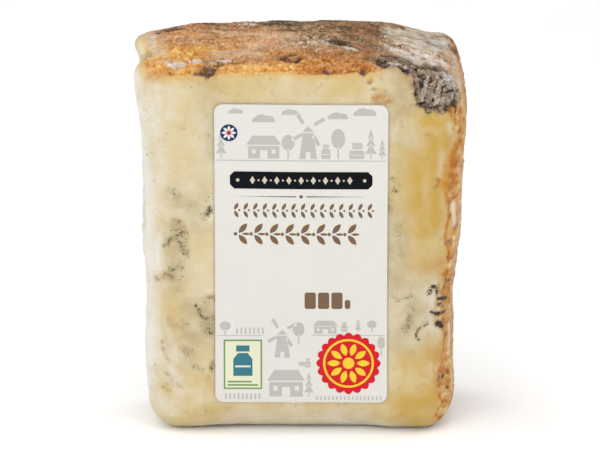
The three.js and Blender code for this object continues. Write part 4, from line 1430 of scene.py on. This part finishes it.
SMALL_CRUMBS, CRUMB_SIDES = 60, 14
CRUMB_SPACING, CRUMB_SUNK, CRUMB_FLATTENED = 0.75, 0.45, 0.3  # of the crumb's reach
FILM_PITCH = 1.0
FILM_OFF = 0.02  # from the cheese
FILM_EASE = 0.12  # how softly it leaves a peak
FILM_OVER_CRUMBS = 0.9
FILM_ROUNDS = 8  # of smoothing
FLOOR_HALF = 3000.0
FINE_BELOW_TOP, FINE_LOW_LEFT = 10, 20
FINE_BESIDE = LABEL_WIDTH / 2 + 0.5


def settle(piece, material, slot, *nodes):
    """Gives a piece its material and its place in the frame."""
    piece.data.materials.append(material)
    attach(piece, "root")
    if nodes:
        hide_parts(*nodes)


def rough_places(centres):
    """Box places that need the finer mesh: the top, the rind, and the front face beside the label."""
    x, y, z = (centres / MM).T
    fine = (z > HALF_HEIGHT - 0.1) | (x > HALF_WIDTH - 0.1)
    front = y < -HALF_THICKNESS + 0.1
    low_left = (x < -FINE_BESIDE) & (z < FINE_LOW_LEFT)
    return fine | front & ((z > HALF_HEIGHT - FINE_BELOW_TOP) | (x > FINE_BESIDE) | low_left)


def formed(name, pitch, finer=None):
    """A piece on the wedge's form, with its surface, shares and relief."""
    piece = new_object(name, *box_grid(pitch))
    if finer:
        refine(piece.data, finer)
    box = vectors(piece.data.vertices, "co") / MM
    points, depth = placed_form(box)
    write(piece.data, points)
    surface = Surface(box, points, depth, vectors(piece.data.vertex_normals, "vector"))
    return piece, surface, *looks(surface)


def make_cheese():
    piece, surface, shares, relief = formed("cheese", CHEESE_PITCH, rough_places)
    write(piece.data, surface.points + surface.out * (relief - CHEESE_INSET)[:, None])
    for name, values in shares.items():
        set_attribute(piece.data, name, values)
    settle(piece, cheese_material(), "cheese_in_film", "wrapped_wedge")
    make_crumbs(surface, shares["crumb"])


def crumb_shape(rng, detail):
    """A lump with flat broken sides, about 1 across each way from its middle, as vertices and faces."""
    ball = bmesh.new()
    bmesh.ops.create_icosphere(ball, subdivisions=detail, radius=1.0)
    ways = np.array([v.co for v in ball.verts])
    faces = [[v.index for v in f.verts] for f in ball.faces]
    ball.free()
    sides = rng.normal(size=(CRUMB_SIDES, 3))
    sides /= np.linalg.norm(sides, axis=1, keepdims=True)
    reach = rng.uniform(0.6, 0.95, len(sides)) / np.maximum(ways @ sides.T, 0.05)
    reach = np.minimum(reach.min(axis=1), 1.0)
    reach += 0.13 * rough_noise(ways * 10 + rng.uniform(0, 500, 3), 6.0, 4, 0.6)
    return ways * reach[:, None], faces


def make_crumbs(surface, crumbs):
    """Loose crumbs of rind sunk into the broken corner."""
    rng = np.random.default_rng(23)
    spots = []
    for face, reach, tone, path in CRUMB_ROWS:
        for spot in spaced(path, CRUMB_SPACING * reach):
            size = reach * rng.uniform(0.75, 1.1)
            detail = 4 if reach > 1 else 3
            spots.append((surface.snap(face, spot), size, tone + rng.uniform(-0.15, 0.1), detail))
    for index in rng.choice(np.flatnonzero(crumbs > 0.8), SMALL_CRUMBS, replace=False):
        spots.append((surface.points[index], rng.uniform(0.35, 0.8), rng.uniform(0.05, 0.95), 3))
    vertices, faces, tones = [], [], []
    for place, reach, tone, detail in spots:
        shape, shape_faces = crumb_shape(rng, detail)
        out = surface.out[np.argmin(np.linalg.norm(surface.points - place, axis=1))]
        shape = shape * reach * rng.uniform(0.75, 1.2, 3)
        shape -= out * (shape @ out)[:, None] * CRUMB_FLATTENED
        faces += [[len(vertices) + i for i in f] for f in shape_faces]
        vertices += list(place + shape - out * (CRUMB_SUNK * reach + CHEESE_INSET))
        tones += [tone] * len(shape)
    piece = new_object("rind_crumbs", vertices, faces)
    set_attribute(piece.data, "tone", np.array(tones))
    settle(piece, crumb_material(), "cheese_in_film")


def make_film():
    """Film stretched over the cheese's peaks and the crumbs."""
    piece, surface, shares, relief = formed("film", FILM_PITCH)
    relief += FILM_OVER_CRUMBS * shares["crumb"]
    stretched = stretched_over(piece.data, relief, FILM_ROUNDS)
    stretched += FILM_EASE * np.logaddexp(0, (relief - stretched) / FILM_EASE)  # smoothly outside every peak
    write(piece.data, surface.points + surface.out * (stretched - CHEESE_INSET + FILM_OFF)[:, None])
    settle(piece, film_material(), "cheese_in_film")


def make_label():
    label = sheet_on_face("label_sheet", [label_outline()], LABEL_GAP, PAPER_FRONT)
    settle(label, paper_material("label_paper", shade(231, 228, 221, PAPER_LIGHT)), "label_paper", "label")
    for name, screen, layer, loops in print_fields():
        field = sheet_on_face(name, loops, PAPER_FRONT - PRINT_ROOT, PAPER_FRONT + layer * PRINT_THICKNESS)
        settle(field, paper_material(name, shade(*screen, PAPER_LIGHT), gloss=0.4, sheen=0.08), "label_paper")


def make_floor():
    corners = rectangle(-FLOOR_HALF, -FLOOR_HALF, FLOOR_HALF, FLOOR_HALF)
    floor = new_object("floor", [(x, y, 0) for x, y in corners], [range(4)], smooth=False)
    floor.data.materials.append(floor_material())


make_camera()
make_lights()
make_floor()
make_cheese()
make_film()
make_label()
